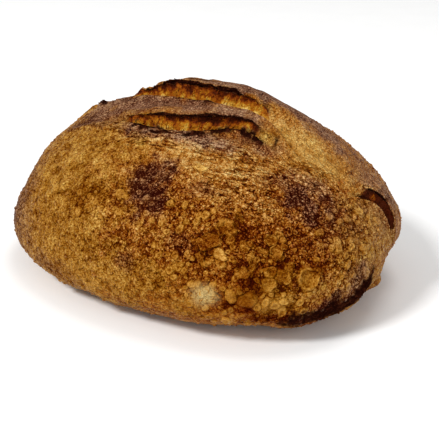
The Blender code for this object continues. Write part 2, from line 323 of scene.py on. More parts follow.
SMOKE_PATCHES = (
    (-0.03, 134, 0.008, 0.008, 0.75),
    (-0.06, 141, 0.012, 0.011, 1.00),
    (-0.05, 147, 0.010, 0.008, 0.90),
    (0.03, 150, 0.006, 0.005, 0.60),
    (0.45, 126, 0.007, 0.005, 0.25),
    (0.29, 111, 0.010, 0.005, 0.70),
    (0.55, 124, 0.011, 0.007, 0.65),
    (0.61, 128, 0.009, 0.009, 0.80),
    (0.665, 128.5, 0.010, 0.010, 0.75),
    (0.76, 126, 0.012, 0.008, 0.40),
    (0.94, 178, 0.012, 0.008, 0.60),
    (0.90, 189, 0.012, 0.007, 0.90),
    (0.86, 198, 0.020, 0.008, 0.90),
    (0.78, 202, 0.012, 0.005, 0.60),
    (-0.05, 171, 0.007, 0.005, 0.50),
    (0.20, 158, 0.008, 0.005, 0.35),
    (0.15, 48, 0.014, 0.012, 0.60),
    (-0.35, 20, 0.018, 0.012, 0.55),
)
CHAR_PATCHES = (
    (-0.03, 145.5, 0.0045, 0.0035, 0.50),
    (0.290, 111, 0.0090, 0.0030, 0.40),
    (-0.17, 97.6, 0.0030, 0.0012, 0.60),
    (0.380, 106.0, 0.0015, 0.0026, 0.62),
    (0.390, 108.4, 0.0015, 0.0028, 0.72),
    (-0.67, 93.0, 0.0070, 0.0016, 0.60),
    (-0.61, 97.4, 0.0044, 0.0026, 1.00),
    (-0.12, 88.0, 0.0120, 0.0040, 0.80),
    (0.236, 92.5, 0.0045, 0.0030, 0.50),
    (-0.03, 99.8, 0.0045, 0.0030, 0.85),
    (0.78, 196, 0.014, 0.006, 0.60),
    (0.84, 200, 0.016, 0.006, 0.50),
    (0.93, 193, 0.010, 0.005, 0.50),
    (0.97, 181, 0.006, 0.005, 0.35),
    (0.90, 206, 0.024, 0.012, 0.85),
    (0.74, 206, 0.022, 0.007, 0.55),
    (0.97, 195, 0.010, 0.010, 0.80),
    (0.60, 10, 0.020, 0.014, 0.60),
)
PALE_PATCHES = (
    (0.375, 178.0, 0.0072, 0.0056, 1.00),
    (-0.15, 0, 0.030, 0.012, 0.16),
)
# Densely blistered (above 0) or smooth (below 0), and strewn with broad blisters:
SMOOTHEST = -0.7
GRAIN_PATCHES = (
    (0.46, 184, 0.050, 0.016, -0.80),
    (0.66, 178, 0.018, 0.012, -0.40),
    (-0.30, 188, 0.040, 0.012, -0.45),
    (0.00, 104, 0.060, 0.012, -0.50),
    (0.10, 80, 0.060, 0.016, -0.60),
    (0.62, 80, 0.060, 0.016, -0.60),
    (0.05, 158, 0.050, 0.026, 0.80),
    (0.40, 145, 0.045, 0.024, 0.85),
    (0.66, 135, 0.034, 0.030, 0.90),
    (0.80, 145, 0.026, 0.034, 0.80),
    (0.50, 165, 0.045, 0.030, 0.35),
    (-0.10, 140, 0.030, 0.014, 0.45),
    (0.52, 103, 0.034, 0.015, -0.60),
    (0.20, 20, 0.060, 0.040, 0.70),
    (-0.50, 20, 0.040, 0.040, 0.40),
)
BUBBLE_PATCHES = (
    (0.40, 166, 0.030, 0.016, 0.80),
    (0.62, 168, 0.026, 0.020, 1.00),
    (0.52, 186, 0.030, 0.010, 0.90),
    (0.78, 176, 0.016, 0.012, 0.80),
    (0.14, 150, 0.030, 0.012, 0.35),
    (0.86, 140, 0.014, 0.024, 0.30),
    (-0.30, 152, 0.020, 0.008, 0.25),
    (0.20, 20, 0.050, 0.030, 0.60),
    (-0.60, 30, 0.030, 0.030, 0.30),
)
FLAKE_PATCHES = (
    (-0.66, 95, 0.010, 0.006, 0.30),
    (-0.32, 90, 0.030, 0.006, 0.16),
    (-0.05, 107, 0.050, 0.006, 0.10),
)
WRINKLE_PATCHES = (
    (-0.20, 124, 0.036, 0.007, 0.90),
    (0.12, 121, 0.036, 0.008, 1.00),
    (0.36, 122, 0.024, 0.012, 0.90),
    (0.38, 136, 0.026, 0.012, 0.80),
    (0.62, 112, 0.024, 0.012, 0.70),
    (0.12, 131, 0.026, 0.008, 0.50),
    (-0.50, 118, 0.030, 0.005, 0.60),
    (0.42, 160, 0.030, 0.010, 0.40),
)
LUMPY_PATCHES = (
    (-0.66, 138, 0.034, 0.022, 1.00),
    (-0.40, 146, 0.024, 0.012, 0.50),
    (0.45, 158, 0.030, 0.020, 0.60),
    (0.70, 178, 0.030, 0.012, 0.80),
)
# Hollows and knobs of a few millimetres:
HOLLOWS = (
    (0.334, 108.2, 0.0040, 0.0042, -0.0016),
    (0.380, 106.0, 0.0016, 0.0034, -0.0013),
    (0.390, 108.6, 0.0016, 0.0032, -0.0014),
    (0.352, 107.4, 0.0016, 0.0050, 0.0012),
    (0.415, 98.0, 0.0020, 0.0020, -0.0009),
    (0.236, 92.5, 0.0040, 0.0024, -0.0010),
    (-0.03, 99.8, 0.0036, 0.0026, 0.0018),
    (0.719, 95.4, 0.0024, 0.0024, 0.0011),
    (0.935, 101.0, 0.0100, 0.0016, -0.0020),
    (0.300, 111.5, 0.0070, 0.0022, -0.0012),
    (-0.615, 97.0, 0.0034, 0.0036, 0.0034),
    (-0.43, 89.0, 0.0016, 0.0034, 0.0013),
    (-0.33, 88.0, 0.0018, 0.0034, 0.0012),
)
# Large blisters: (station, angle, reach along, reach across, height, dip in the middle, turn).
BUBBLES = (
    (0.387, 153.4, 0.0064, 0.0046, 0.0019, 0.95, 20),
    (0.337, 160.4, 0.0086, 0.0036, 0.0013, 0.5, 25),
    (0.330, 166.2, 0.0034, 0.0030, 0.0013, 0.95, 0),
    (0.409, 164.6, 0.0044, 0.0032, 0.0010, 0.1, -20),
    (0.425, 168.8, 0.0032, 0.0028, 0.0012, 0.85, 0),
    (0.591, 153.2, 0.0036, 0.0032, 0.0013, 0.7, 0),
    (0.613, 150.2, 0.0030, 0.0028, 0.0013, 0.85, 0),
    (0.629, 158.4, 0.0032, 0.0054, 0.0015, 0.7, 15),
    (0.509, 157.7, 0.0030, 0.0030, 0.0014, 0.5, 0),
    (0.586, 159.4, 0.0030, 0.0028, 0.0011, 0.7, 0),
    (0.555, 165.5, 0.0028, 0.0030, 0.0013, 0.85, 0),
    (0.634, 169.5, 0.0034, 0.0034, 0.0014, 0.95, 0),
    (0.639, 176.9, 0.0046, 0.0042, 0.0013, 0.1, 10),
    (0.788, 173.5, 0.0074, 0.0060, 0.0018, 0.85, 15),
    (0.500, 185.7, 0.0038, 0.0042, 0.0012, 0.0, 0),
    (0.566, 187.9, 0.0050, 0.0046, 0.0012, 0.1, 0),
    (0.702, 165.9, 0.0032, 0.0030, 0.0012, 0.2, 0),
    (0.688, 171.8, 0.0052, 0.0040, 0.0009, 0.1, 0),
    (0.529, 171.8, 0.0042, 0.0028, 0.0009, 0.2, 0),
    (0.425, 147.4, 0.0032, 0.0026, 0.0012, 0.85, 0),
    (0.945, 150.5, 0.0030, 0.0036, 0.0012, 0.1, 0),
    (-0.024, 150.0, 0.0030, 0.0028, 0.0013, 0.2, 0),
    (-0.159, 151.4, 0.0042, 0.0032, 0.0009, 0.1, 0),
    (-0.003, 140.5, 0.0038, 0.0028, 0.0011, 0.95, 10),
    (0.152, 132.7, 0.0048, 0.0030, 0.0007, 0.1, 0),
    (0.10, 150.0, 0.0026, 0.0024, 0.0011, 0.85, 0),
    (0.20, 24.0, 0.0060, 0.0046, 0.0016, 0.85, 30),
    (0.34, 16.0, 0.0044, 0.0040, 0.0013, 0.5, 0),
    (-0.10, 10.0, 0.0036, 0.0034, 0.0013, 0.85, 0),
)
# How torn and how burnt the scores are from station to station.
MAIN_TORN = (
    (-0.49, 0.0), (-0.42, 1.0), (0.20, 1.0), (0.34, 0.0), (0.80, 0.0), (0.835, 1.0), (0.95, 1.0),
    (0.985, 0.0),
)
MAIN_BURNT = (
    (-0.50, 0.0), (-0.40, 0.7), (-0.30, 1.0), (0.06, 1.0), (0.16, 0.35), (0.24, 0.0), (0.79, 0.0), (0.83, 0.8),
    (0.94, 0.6), (0.98, 0.0),
)
MAIN_LIP_BURNT = (
    (-0.52, 0.0), (-0.46, 1.0), (-0.36, 0.5), (-0.16, 0.5), (-0.04, 1.0), (0.04, 0.3), (0.24, 0.0),
)
FRONT_LIP_BURNT = (
    (-0.35, 0.0), (-0.29, 1.0), (-0.10, 1.0), (-0.06, 0.1), (0.0, 0.9), (0.30, 1.0), (0.36, 0.0),
)
FRONT_TORN = ((-0.37, 0.0), (-0.31, 1.0), (0.14, 1.0), (0.27, 0.7), (0.33, 0.0))
FRONT_BURNT = ((-0.33, 0.0), (-0.24, 0.7), (-0.16, 1.0), (0.25, 1.0), (0.31, 0.0))

# Colours, linear, from the palest crust to the darkest.
RED_RAMP = (
    (0.00, (0.80, 0.52, 0.190)),
    (0.16, (0.61, 0.330, 0.090)),
    (0.32, (0.48, 0.214, 0.042)),
    (0.48, (0.37, 0.128, 0.010)),
    (0.64, (0.240, 0.060, 0.0026)),
    (0.80, (0.130, 0.019, 0.0008)),
    (1.00, (0.040, 0.0035, 0.0005)),
)
GOLD_RAMP = (
    (0.00, (0.80, 0.55, 0.15)),
    (0.16, (0.62, 0.350, 0.072)),
    (0.32, (0.50, 0.250, 0.044)),
    (0.48, (0.385, 0.165, 0.018)),
    (0.64, (0.26, 0.095, 0.0040)),
    (0.80, (0.17, 0.045, 0.0010)),
    (1.00, (0.06, 0.0080, 0.0005)),
)
DULL_RAMP = (
    (0.00, (0.52, 0.32, 0.190)),
    (0.20, (0.36, 0.178, 0.104)),
    (0.45, (0.215, 0.096, 0.054)),
    (0.70, (0.085, 0.024, 0.0110)),
    (1.00, (0.024, 0.0030, 0.0016)),
)
# Torn crumb, from the painted shade under an ear (darkest) to the crumb's own yellow at the lip.
CRUMB_RAMP = (
    (0.00, (0.055, 0.0080, 0.0018)),
    (0.20, (0.150, 0.023, 0.0024)),
    (0.40, (0.30, 0.071, 0.0038)),
    (0.60, (0.43, 0.152, 0.0080)),
    (0.80, (0.58, 0.300, 0.034)),
    (1.00, (0.82, 0.560, 0.170)),
)
WARM_GLOSS = (1.0, 0.62, 0.36, 1.0)
MEAN_BAKE = 0.50


def shades(ramp, middle):
    """The ramp's colours, shifted so that its middle one becomes this one."""
    usual = ramp[len(ramp) // 2][1]
    shift = np.array(middle) / np.array(usual)
    return [(place, (*(shift * colour), 1.0)) for place, colour in ramp]


# --- the loaf's form -------------------------------------------------------------------------


def through(knots, at):
    """The smooth curve through (place, value) knots, level beyond both ends."""
    places, values = (np.array(column, float) for column in zip(*knots))
    low = np.maximum(np.arange(len(places)) - 1, 0)
    high = np.minimum(np.arange(len(places)) + 1, len(places) - 1)
    slopes = (values[high] - values[low]) / (places[high] - places[low])
    at = np.clip(at, places[0], places[-1])
    before = np.clip(np.searchsorted(places, at, side="right") - 1, 0, len(places) - 2)
    span = places[before + 1] - places[before]
    s = (at - places[before]) / span
    return (
        values[before] * (2 * s**3 - 3 * s**2 + 1)
        + values[before + 1] * (3 * s**2 - 2 * s**3)
        + slopes[before] * span * (s**3 - 2 * s**2 + s)
        + slopes[before + 1] * span * (s**3 - s**2)
    )


def end_round(station, powers):
    """1 at the middle of the loaf and 0 at its ends, along a superellipse."""
    inner, outer = powers
    return np.maximum(0.0, 1 - np.abs(station) ** inner) ** (1 / outer)


def bare_point(station, angle):
    """The crust with no scores, before the base is flattened."""
    station, angle = np.broadcast_arrays(np.asarray(station, float), np.asarray(angle, float))
    turn = np.radians(angle)
    sine, cosine = np.sin(turn), np.cos(turn)
    back_power = through(BACK_SECTION_POWERS, station)
    upper_power = np.where(cosine > 0, back_power, FRONT_SECTION_POWER)
    power = 2 / np.where(sine >= 0, upper_power, LOWER_SECTION_POWER)
    plan = end_round(station, PLAN_POWERS)
    width = HALF_WIDTH * (1 + WIDTH_TAPER * station) * plan
    ridge = end_round(station, RIDGE_POWERS)
    upper = (CROWN_HEIGHT - BELLY_LEVEL) * (1 + HEIGHT_TAPER * station) * ridge
    height = np.where(sine >= 0, upper, BELLY_LEVEL * plan**UNDERSIDE_RISE_POWER)
    above_belly = np.sign(sine) * np.abs(sine) ** power * height
    return np.stack([
        HALF_LENGTH * station + LEAN_RIGHT * above_belly,
        np.sign(cosine) * np.abs(cosine) ** power * width
        + LEAN_BACK * above_belly
        + BOW_BACK * (1 - station**2),
        BELLY_LEVEL + above_belly,
    ], axis=-1)


def unit(vectors):
    return vectors / np.maximum(np.linalg.norm(vectors, axis=-1, keepdims=True), 1e-12)


def surface_frame(station, angle):
    """The bare point, the direction forward across the scores, and the outward direction."""
    small_station, small_angle = 0.004, 0.5
    inside = np.clip(station, -0.995, 0.995)
    forward = bare_point(inside, angle + small_angle) - bare_point(inside, angle - small_angle)
    along = bare_point(inside + small_station, angle) - bare_point(inside - small_station, angle)
    return bare_point(station, angle), unit(forward), unit(np.cross(forward, along))


def fade(distance, reach):
    """1 at no distance, falling smoothly to 0 at reach."""
    return (1 + np.cos(np.pi * np.minimum(1.0, np.abs(distance) / reach))) / 2


def smooth_step(low, high, value):
    share = np.clip((value - low) / (high - low), 0.0, 1.0)
    return share * share * (3 - 2 * share)


def window(value, low, high, soft):
    """1 between low and high, with soft shoulders outside them."""
    return smooth_step(low - soft, low, value) * (1 - smooth_step(high, high + soft, value))


def noise_at(points, lengths, seed=0):
    """Smooth noise from about -1 to 1, with bumps about as long as lengths (one, or per axis)."""
    scaled = points.reshape(-1, 3) / np.asarray(lengths, float) + seed * 31.7
    values = np.fromiter((noise.noise(p) for p in scaled.tolist()), float, len(scaled))
    return 1.6 * values.reshape(points.shape[:-1])


def pebbles_at(points, length, seed=0):
    """Rounded pebbles about as wide as length: 1 on their tops, 0 in the creases between them."""
    astray = [noise_at(points, 1.6 * length, seed + each) for each in (1, 2, 3)]
    moved = points + 0.22 * length * np.stack(astray, axis=-1)
    scaled = moved.reshape(-1, 3) / length + seed * 31.7
    apart = np.fromiter((noise.voronoi(p)[0][0] for p in scaled.tolist()), float, len(scaled))
    return 1 - np.minimum(1.0, apart.reshape(points.shape[:-1])) ** 2


def ear_section(share, width, ear_height, valley_depth):
    """Forward and outward shift of the point at this share of an opened score's rows."""
    rows = len(EAR_SECTION) - 1
    place = through([(i / rows, forward) for i, (forward, _) in enumerate(EAR_SECTION)], share)
    rise = through([(i / rows, height) for i, (_, height) in enumerate(EAR_SECTION)], share)
    openness = np.minimum(1.0, ear_height / OPEN_HEIGHT)
    valley = valley_depth * fade(place - VALLEY_PLACE, VALLEY_REACH)
    lip = LIP_HEIGHT * openness * fade(place - 1.0, 0.08)
    return (place - share) * width * openness, rise * ear_height - valley + lip


def swell(points):
    """Slow unevenness of the hand-shaped dough, outward."""
    return SWELL_DEPTH * noise_at(points, SWELL_LENGTH) / 1.6


def lump_height(points):
    """Height of all the broad lumps and dents together at each point of the crust."""
    return sum(
        height * fade(np.linalg.norm(points - np.array(middle), axis=-1), reach)
        for middle, reach, height in LUMPS
    )


def flatten_base(points):
    """Sets the underside down on Z = 0, with a small round where the flat begins."""
    height = points[..., 2] - BASE_CUT
    rounded = (height + BASE_FILLET) ** 2 / (4 * BASE_FILLET)
    flat = np.where(height < -BASE_FILLET, 0.0, np.where(height < BASE_FILLET, rounded, height))
    return np.stack([points[..., 0], points[..., 1], flat], axis=-1)


def ring_stations():
    """The rings' stations: even steps along the crown's line, and shorter ones over the scores."""
    fine = -np.cos(np.linspace(0, np.pi, 4001))
    steps = np.linalg.norm(np.diff(bare_point(fine, 100.0), axis=0), axis=1)
    middles = (fine[1:] + fine[:-1]) / 2
    run = np.cumsum(steps * (1 + RING_CROWDING * np.exp(-((middles / 0.55) ** 4))))
    run = np.concatenate([[0.0], run])
    return np.interp(np.linspace(0, run[-1], RINGS + 1), run, fine)


def patches_at(points, patches, raggedness=0.35, seed=0):
    """Sum of soft patches of crust, each with an uneven outline."""
    wander = noise_at(points, 0.009, seed + 1) + 0.6 * noise_at(points, 0.0035, seed + 2)
    total = np.zeros(points.shape[:-1])
    for station, angle, along, across, amount in patches:
        offset = points - bare_point(station, angle)
        apart = np.sqrt((offset[..., 0] / along) ** 2 + (offset[..., 1:] ** 2).sum(-1) / across**2)
        total += amount * (1 - smooth_step(0.25, 1.5, apart + raggedness * wander))
    return total


class CrustGrid:
    """The crust's points ring by ring and row by row, and what each is made of."""

    def __init__(self):
        self.stations = ring_stations()
        rows = [(band, row / count) for band, count in BANDS for row in range(count)]
        rows = [
            (band, share * (UPPER_ROWS + (1 - UPPER_ROWS) * share) if band == "front side" else share)
            for band, share in rows
        ]
        self.band = np.array([band for band, _ in rows])
        self.share = np.array([share for _, share in rows])
        self.lines = [
            through(line, self.stations)
            for line in (MAIN_SCORE_BACK, MAIN_SCORE_FRONT, FRONT_SCORE_BACK, FRONT_SCORE_FRONT, CREASE)
        ]
        self.station = np.repeat(self.stations[:, None], len(rows), axis=1)
        self.angle = np.empty_like(self.station)
        edges = [np.full_like(self.stations, BACK_FOOT_ANGLE), *self.lines]
        edges += [np.full_like(self.stations, FRONT_FOOT_ANGLE)]
        edges += [np.full_like(self.stations, 360 + BACK_FOOT_ANGLE)]
        for (band, _), low, high in zip(BANDS, edges, edges[1:]):
            columns = self.band == band
            self.angle[:, columns] = low[:, None] + (high - low)[:, None] * self.share[columns]
        self.point, self.forward, self.outward = surface_frame(self.station, self.angle)
        self.shift = np.zeros_like(self.station)
        self.rise = np.zeros_like(self.station)
        self.masks = {}
        self.open_scores()

    def columns(self, band):
        return self.band == band

    def mask(self, name):
        return self.masks.setdefault(name, np.zeros_like(self.station))

    def open_scores(self):
        """The ears, valleys and lips of the two scores, and the fold along the crease."""
        main_back, main_front, front_back, front_front, crease = (
            line[:, None] for line in self.lines
        )
        main_ear = through(MAIN_EAR_HEIGHT, self.stations)[:, None]
        front_ear = through(FRONT_EAR_HEIGHT, self.stations)[:, None]
        scores = (
            ("main score", main_back, main_front, main_ear, MAIN_VALLEY_DEPTH),
            ("front score", front_back, front_front, front_ear, FRONT_VALLEY_DEPTH),
        )
        for band, back, front, ear, valleys in scores:
            columns = self.columns(band)
            station = self.stations[:, None]
            across = bare_point(station, front) - bare_point(station, back)
            width = np.linalg.norm(across, axis=-1)
            share = self.share[columns][None, :]
            shift, rise = ear_section(share, width, ear, through(valleys, self.stations)[:, None])
            if band == "main score":
                bloom = window(self.stations, *BLOOM, 0.12)[:, None]
                slope = ear * EAR_SECTION[0][1] * (1 - smooth_step(0.10, 0.95, share))
                shift, rise = shift * (1 - bloom), rise + bloom * (slope - rise)
            self.shift[:, columns], self.rise[:, columns] = shift, rise
        top = EAR_SECTION[0][1]
        back = self.columns("back")
        self.rise[:, back] = main_ear * top * fade(self.angle[:, back] - main_back, EAR_BACK_SPREAD)
        strap = self.columns("strap")
        near_main = LIP_HEIGHT * np.minimum(1.0, main_ear / OPEN_HEIGHT)
        self.rise[:, strap] = near_main * fade(self.angle[:, strap] - main_front, 3.0)
        self.rise[:, strap] += front_ear * top * fade(
            self.angle[:, strap] - front_back, FRONT_EAR_BACK_SPREAD
        )
        step = through(CREASE_STEP, self.stations)[:, None]
        near_front = LIP_HEIGHT * np.minimum(1.0, front_ear / OPEN_HEIGHT)
        for band in ("apron", "front side"):
            columns = self.columns(band)
            angle = self.angle[:, columns]
            folded = self.share[columns][None, :] if band == "apron" else fade(angle - crease, 3.0)
            self.rise[:, columns] = near_front * fade(angle - front_front, 3.0) + step * folded
        steady = np.minimum(1.0, END_STEADINESS * (1 - np.abs(self.station)))
        self.rise += lump_height(self.point) + swell(self.point) * steady

    def placed(self):
        return flatten_base(
            self.point + self.forward * self.shift[..., None] + self.outward * self.rise[..., None]
        )


def paint_masks(grid):
    """Where the crust is torn, burnt, dull or floury, how dark it baked, and the painted shade on the torn crumb
    under the ears.
    """
    points = grid.point
    masks = grid.masks
    kinds = (
        ("bake", BAKE_PATCHES, 0.30), ("gold", GOLD_PATCHES, 0.30), ("mauve", MAUVE_PATCHES, 0.30),
        ("smoke", SMOKE_PATCHES, 0.50), ("char", CHAR_PATCHES, 0.40), ("pale", PALE_PATCHES, 0.14),
        ("grain", GRAIN_PATCHES, 0.30), ("wrinkle", WRINKLE_PATCHES, 0.20),
        ("lumpy", LUMPY_PATCHES, 0.20),
    )
    for seed, (name, patches, ragged) in enumerate(kinds):
        masks[name] = patches_at(points, patches, ragged, 20 + 4 * seed)
    smoke = np.clip(masks["smoke"], 0, 1)
    masks["bake"] += MEAN_BAKE + 0.26 * smoke
    masks["mauve"] = np.maximum(masks["mauve"], 0.85 * smoke)
    along = points.copy()
    along[..., 1:] = 0
    edge_wander = noise_at(along, 0.0046, 11) + 0.6 * noise_at(along, 0.0018, 12)
    slow_wander = noise_at(along, 0.014, 13)
    torn_wander = noise_at(points, 0.0040, 18)
    lip_noise = noise_at(points, (0.0080, 0.0020, 0.0020), 19) + 0.4 * noise_at(points, 0.0016, 10)
    crumb, depth, char, edge = (grid.mask(name) for name in ("crumb", "depth", "char", "edge"))
    scores = (
        ("main score", "strap", grid.lines[1], MAIN_TORN, MAIN_BURNT, MAIN_LIP_BURNT, 0.20, 0.0018),
        ("front score", "apron", grid.lines[3], FRONT_TORN, FRONT_BURNT, FRONT_LIP_BURNT, 0.19, 0.0037),
    )
    for band, beyond, lip, torn, burnt, lip_burnt, burnt_from, lip_reach in scores:
        torn = through(torn, grid.stations)[:, None]
        burnt = np.clip(through(burnt, grid.stations), 0, 1)[:, None]
        lip_burnt = np.clip(through(lip_burnt, grid.stations), 0, 1)[:, None]
        columns = grid.columns(band)
        whole = np.broadcast_to(grid.share[columns][None, :], char[:, columns].shape)
        share = whole + 0.022 * edge_wander[:, columns] + 0.02 * torn_wander[:, columns]
        crumb[:, columns] = window(share, 0.37, 0.945, 0.025) * smooth_step(
            0.25, 0.60, torn + 0.16 * torn_wander[:, columns]
        )
        # Painted shade on the torn crumb: darkest at the back of the score under the ear, lightening towards the
        # lip, and darker still in the deep slit near the right end.
        deeper = 0.66 * smooth_step(0.70, 0.80, grid.stations)[:, None]
        depth[:, columns] = np.clip((whole - 0.40) / 0.52, 0, 1) - deeper
        if band == "front score":
            depth[:, columns] -= 0.08 * smooth_step(-0.10, 0.06, grid.stations)[:, None]
        else:
            depth[:, columns] += 0.16 * window(grid.stations, 0.08, 0.30, 0.08)[:, None]
        thick = burnt_from - 0.05 * slow_wander[:, columns] + 0.35 * (1 - burnt)
        top = smooth_step(thick - 0.05, thick + 0.08, share) * (1 - smooth_step(0.36, 0.43, share))
        char[:, columns] += 1.2 * top * smooth_step(0.15, 0.6, burnt)
        edge[:, columns] = window(whole, 0.20, 0.36, 0.06) * np.clip(burnt + torn, 0, 1)
        for near_lip in (columns, grid.columns(beyond)):
            away = np.abs(grid.angle - lip[:, None])[:, near_lip] * MM_PER_DEGREE / 1000
            close = 1 - smooth_step(0.35 * lip_reach, lip_reach, away + 0.0006 * edge_wander[:, near_lip])
            patchy = smooth_step(-0.45, 0.25, lip_noise[:, near_lip] + 0.35)
            char[:, near_lip] += 1.2 * lip_burnt * close * patchy
    below_crease = grid.angle - grid.lines[-1][:, None] - 0.5 * edge_wander
    ember = patches_at(points, ((0.868, 97.5, 0.0060, 0.0026, 0.30),), 0.3, 60)
    depth += ember * crumb
    crease = fade(below_crease, 1.1) * (1 - smooth_step(0.0, 0.25, grid.station))
    masks["bake"] += 0.24 * crease * smooth_step(-0.95, -0.7, grid.station)
    np.clip(masks["gold"], 0, 1.5, out=masks["gold"])
    for name in ("smoke", "char", "mauve", "pale", "wrinkle", "lumpy"):
        np.clip(masks[name], 0, 1, out=masks[name])
    np.clip(masks["grain"], SMOOTHEST, 1, out=masks["grain"])


def relieve(grid):
    """The crust's fine relief: pebbled skin, lengthwise wrinkles, torn crumb and ragged edges, and the low mask
    that paints shade into its hollows.
    """
    points = grid.point
    masks = grid.masks
    crumb = masks["crumb"]
    base = smooth_step(0.004, 0.0, points[..., 2] - BASE_CUT)
    skin = (1 - crumb) * (1 - base)
    lumps = noise_at(points, 0.0064, 1)
    pebbles = 1.3 * (pebbles_at(points, 0.0046, 2) - 0.64) + 0.9 * (pebbles_at(points, 0.0028, 3) - 0.64)
    rough = (0.40 + 0.60 * np.maximum(masks["grain"], masks["lumpy"])) * (1 - 0.6 * masks["mauve"])
    knobs = pebbles_at(points, 0.0100, 4) - 0.64
    grid.rise += (0.00032 * lumps * (1 + 2.4 * masks["lumpy"]) + 0.00085 * pebbles * rough) * skin
    grid.rise += (0.0005 + 0.0018 * masks["lumpy"]) * knobs * skin * (1 - masks["mauve"])
    folds = 1 - 2.2 * np.abs(noise_at(points, (0.0170, 0.0040, 0.0040), 4))
    fine_folds = 1 - 2.2 * np.abs(noise_at(points, (0.0090, 0.0022, 0.0022), 5))
    grid.rise += (0.00070 * folds + 0.00050 * fine_folds) * masks["wrinkle"] * skin
    # low is 1 in the hollows between pebbles, lumps and knobs and in the creases of the folds: painted shade
    # there, partly also a darker-baked skin.
    low = 0.5 - 0.30 * lumps * (0.5 + 1.0 * masks["lumpy"]) - 0.60 * pebbles - 0.50 * masks["lumpy"] * knobs
    masks["low"] = np.clip(low - 0.34 * masks["wrinkle"] * (folds + fine_folds), 0, 1)
    # torn crumb: fingers that run from under the ear down to the lip, and round cells
    strands = points.copy()
    strands[..., 1] = masks["depth"] * 0.011
    strands[..., 2] = 0
    fingers = noise_at(strands, (0.0050, 0.0060, 1.0), 6) + 0.35 * noise_at(strands, (0.0017, 0.0050, 1.0), 7)
    cells = noise_at(points, 0.0050, 8) + 0.4 * noise_at(points, 0.0024, 9)
    grid.rise += crumb * (0.00060 * fingers + 0.00070 * cells)
    grid.shift += crumb * 0.0004 * fingers
    masks["strand"] = np.clip(0.5 + 0.42 * fingers + 0.30 * cells, 0, 1) * crumb
    # ragged, lifted ear edges and lips
    along = points.copy()
    along[..., 1:] = 0
    tear = 0.75 * noise_at(along, 0.0056, 14) + 0.6 * noise_at(along, 0.0023, 15)
    tear += 0.5 * noise_at(points, 0.0015, 16)
    grid.rise += masks["edge"] * 0.0010 * tear
    grid.shift += masks["edge"] * 0.0011 * tear
    grid.rise += masks["char"] * skin * 0.00030 * noise_at(points, 0.0018, 17)
    for station, angle, along_reach, across_reach, height in HOLLOWS:
        offset = points - bare_point(station, angle)
        apart = (offset[..., 0] / along_reach) ** 2 + (offset[..., 1:] ** 2).sum(-1) / across_reach**2
        grid.rise += height * np.exp(-apart) * (1 - base)


def settle_faces(mesh):
    """Puts the faces in one fixed order, because the sphere's own order differs from run to run."""
    places = [vertex.co.copy() for vertex in mesh.vertices]
    faces = []
    for face in mesh.polygons:
        corners = list(face.vertices)
        first = corners.index(min(corners))
        faces.append(corners[first:] + corners[:first])
    mesh.clear_geometry()
    mesh.from_pydata(places, [], sorted(faces))


def crust_mesh(grid, points):
    """Lays a sphere's grid over the loaf: ring by ring along X, row by row round it."""
    rows = points.shape[1]
    bpy.ops.mesh.primitive_uv_sphere_add(
        segments=rows, ring_count=RINGS, radius=1.0, calc_uvs=False
    )
    crust = bpy.context.object
    crust.name = crust.data.name = "crust"
    mesh = crust.data
    settle_faces(mesh)
    ball = np.empty(len(mesh.vertices) * 3, np.float32)
    mesh.vertices.foreach_get("co", ball)
    ball = ball.reshape(-1, 3)
    ring = np.rint((1 - np.arccos(np.clip(ball[:, 2], -1, 1)) / np.pi) * RINGS).astype(int)
    turn = np.arctan2(ball[:, 1], ball[:, 0]) % (2 * np.pi)
    row = np.rint(turn / (2 * np.pi) * rows).astype(int) % rows
    mesh.vertices.foreach_set("co", points[ring, row].astype(np.float32).ravel())
    for name in CRUST_ATTRIBUTES:
        values = mesh.attributes.new(name, "FLOAT", "POINT")
        values.data.foreach_set("value", grid.masks[name][ring, row].astype(np.float32))
    mesh.update()
    bpy.ops.object.mode_set(mode="EDIT")
    bpy.ops.mesh.select_all(action="SELECT")
    bpy.ops.mesh.normals_make_consistent(inside=False)
    bpy.ops.mesh.select_all(action="DESELECT")
    bpy.ops.object.mode_set(mode="OBJECT")
    bpy.ops.object.shade_smooth()
    return crust


# --- finishes --------------------------------------------------------------------------------


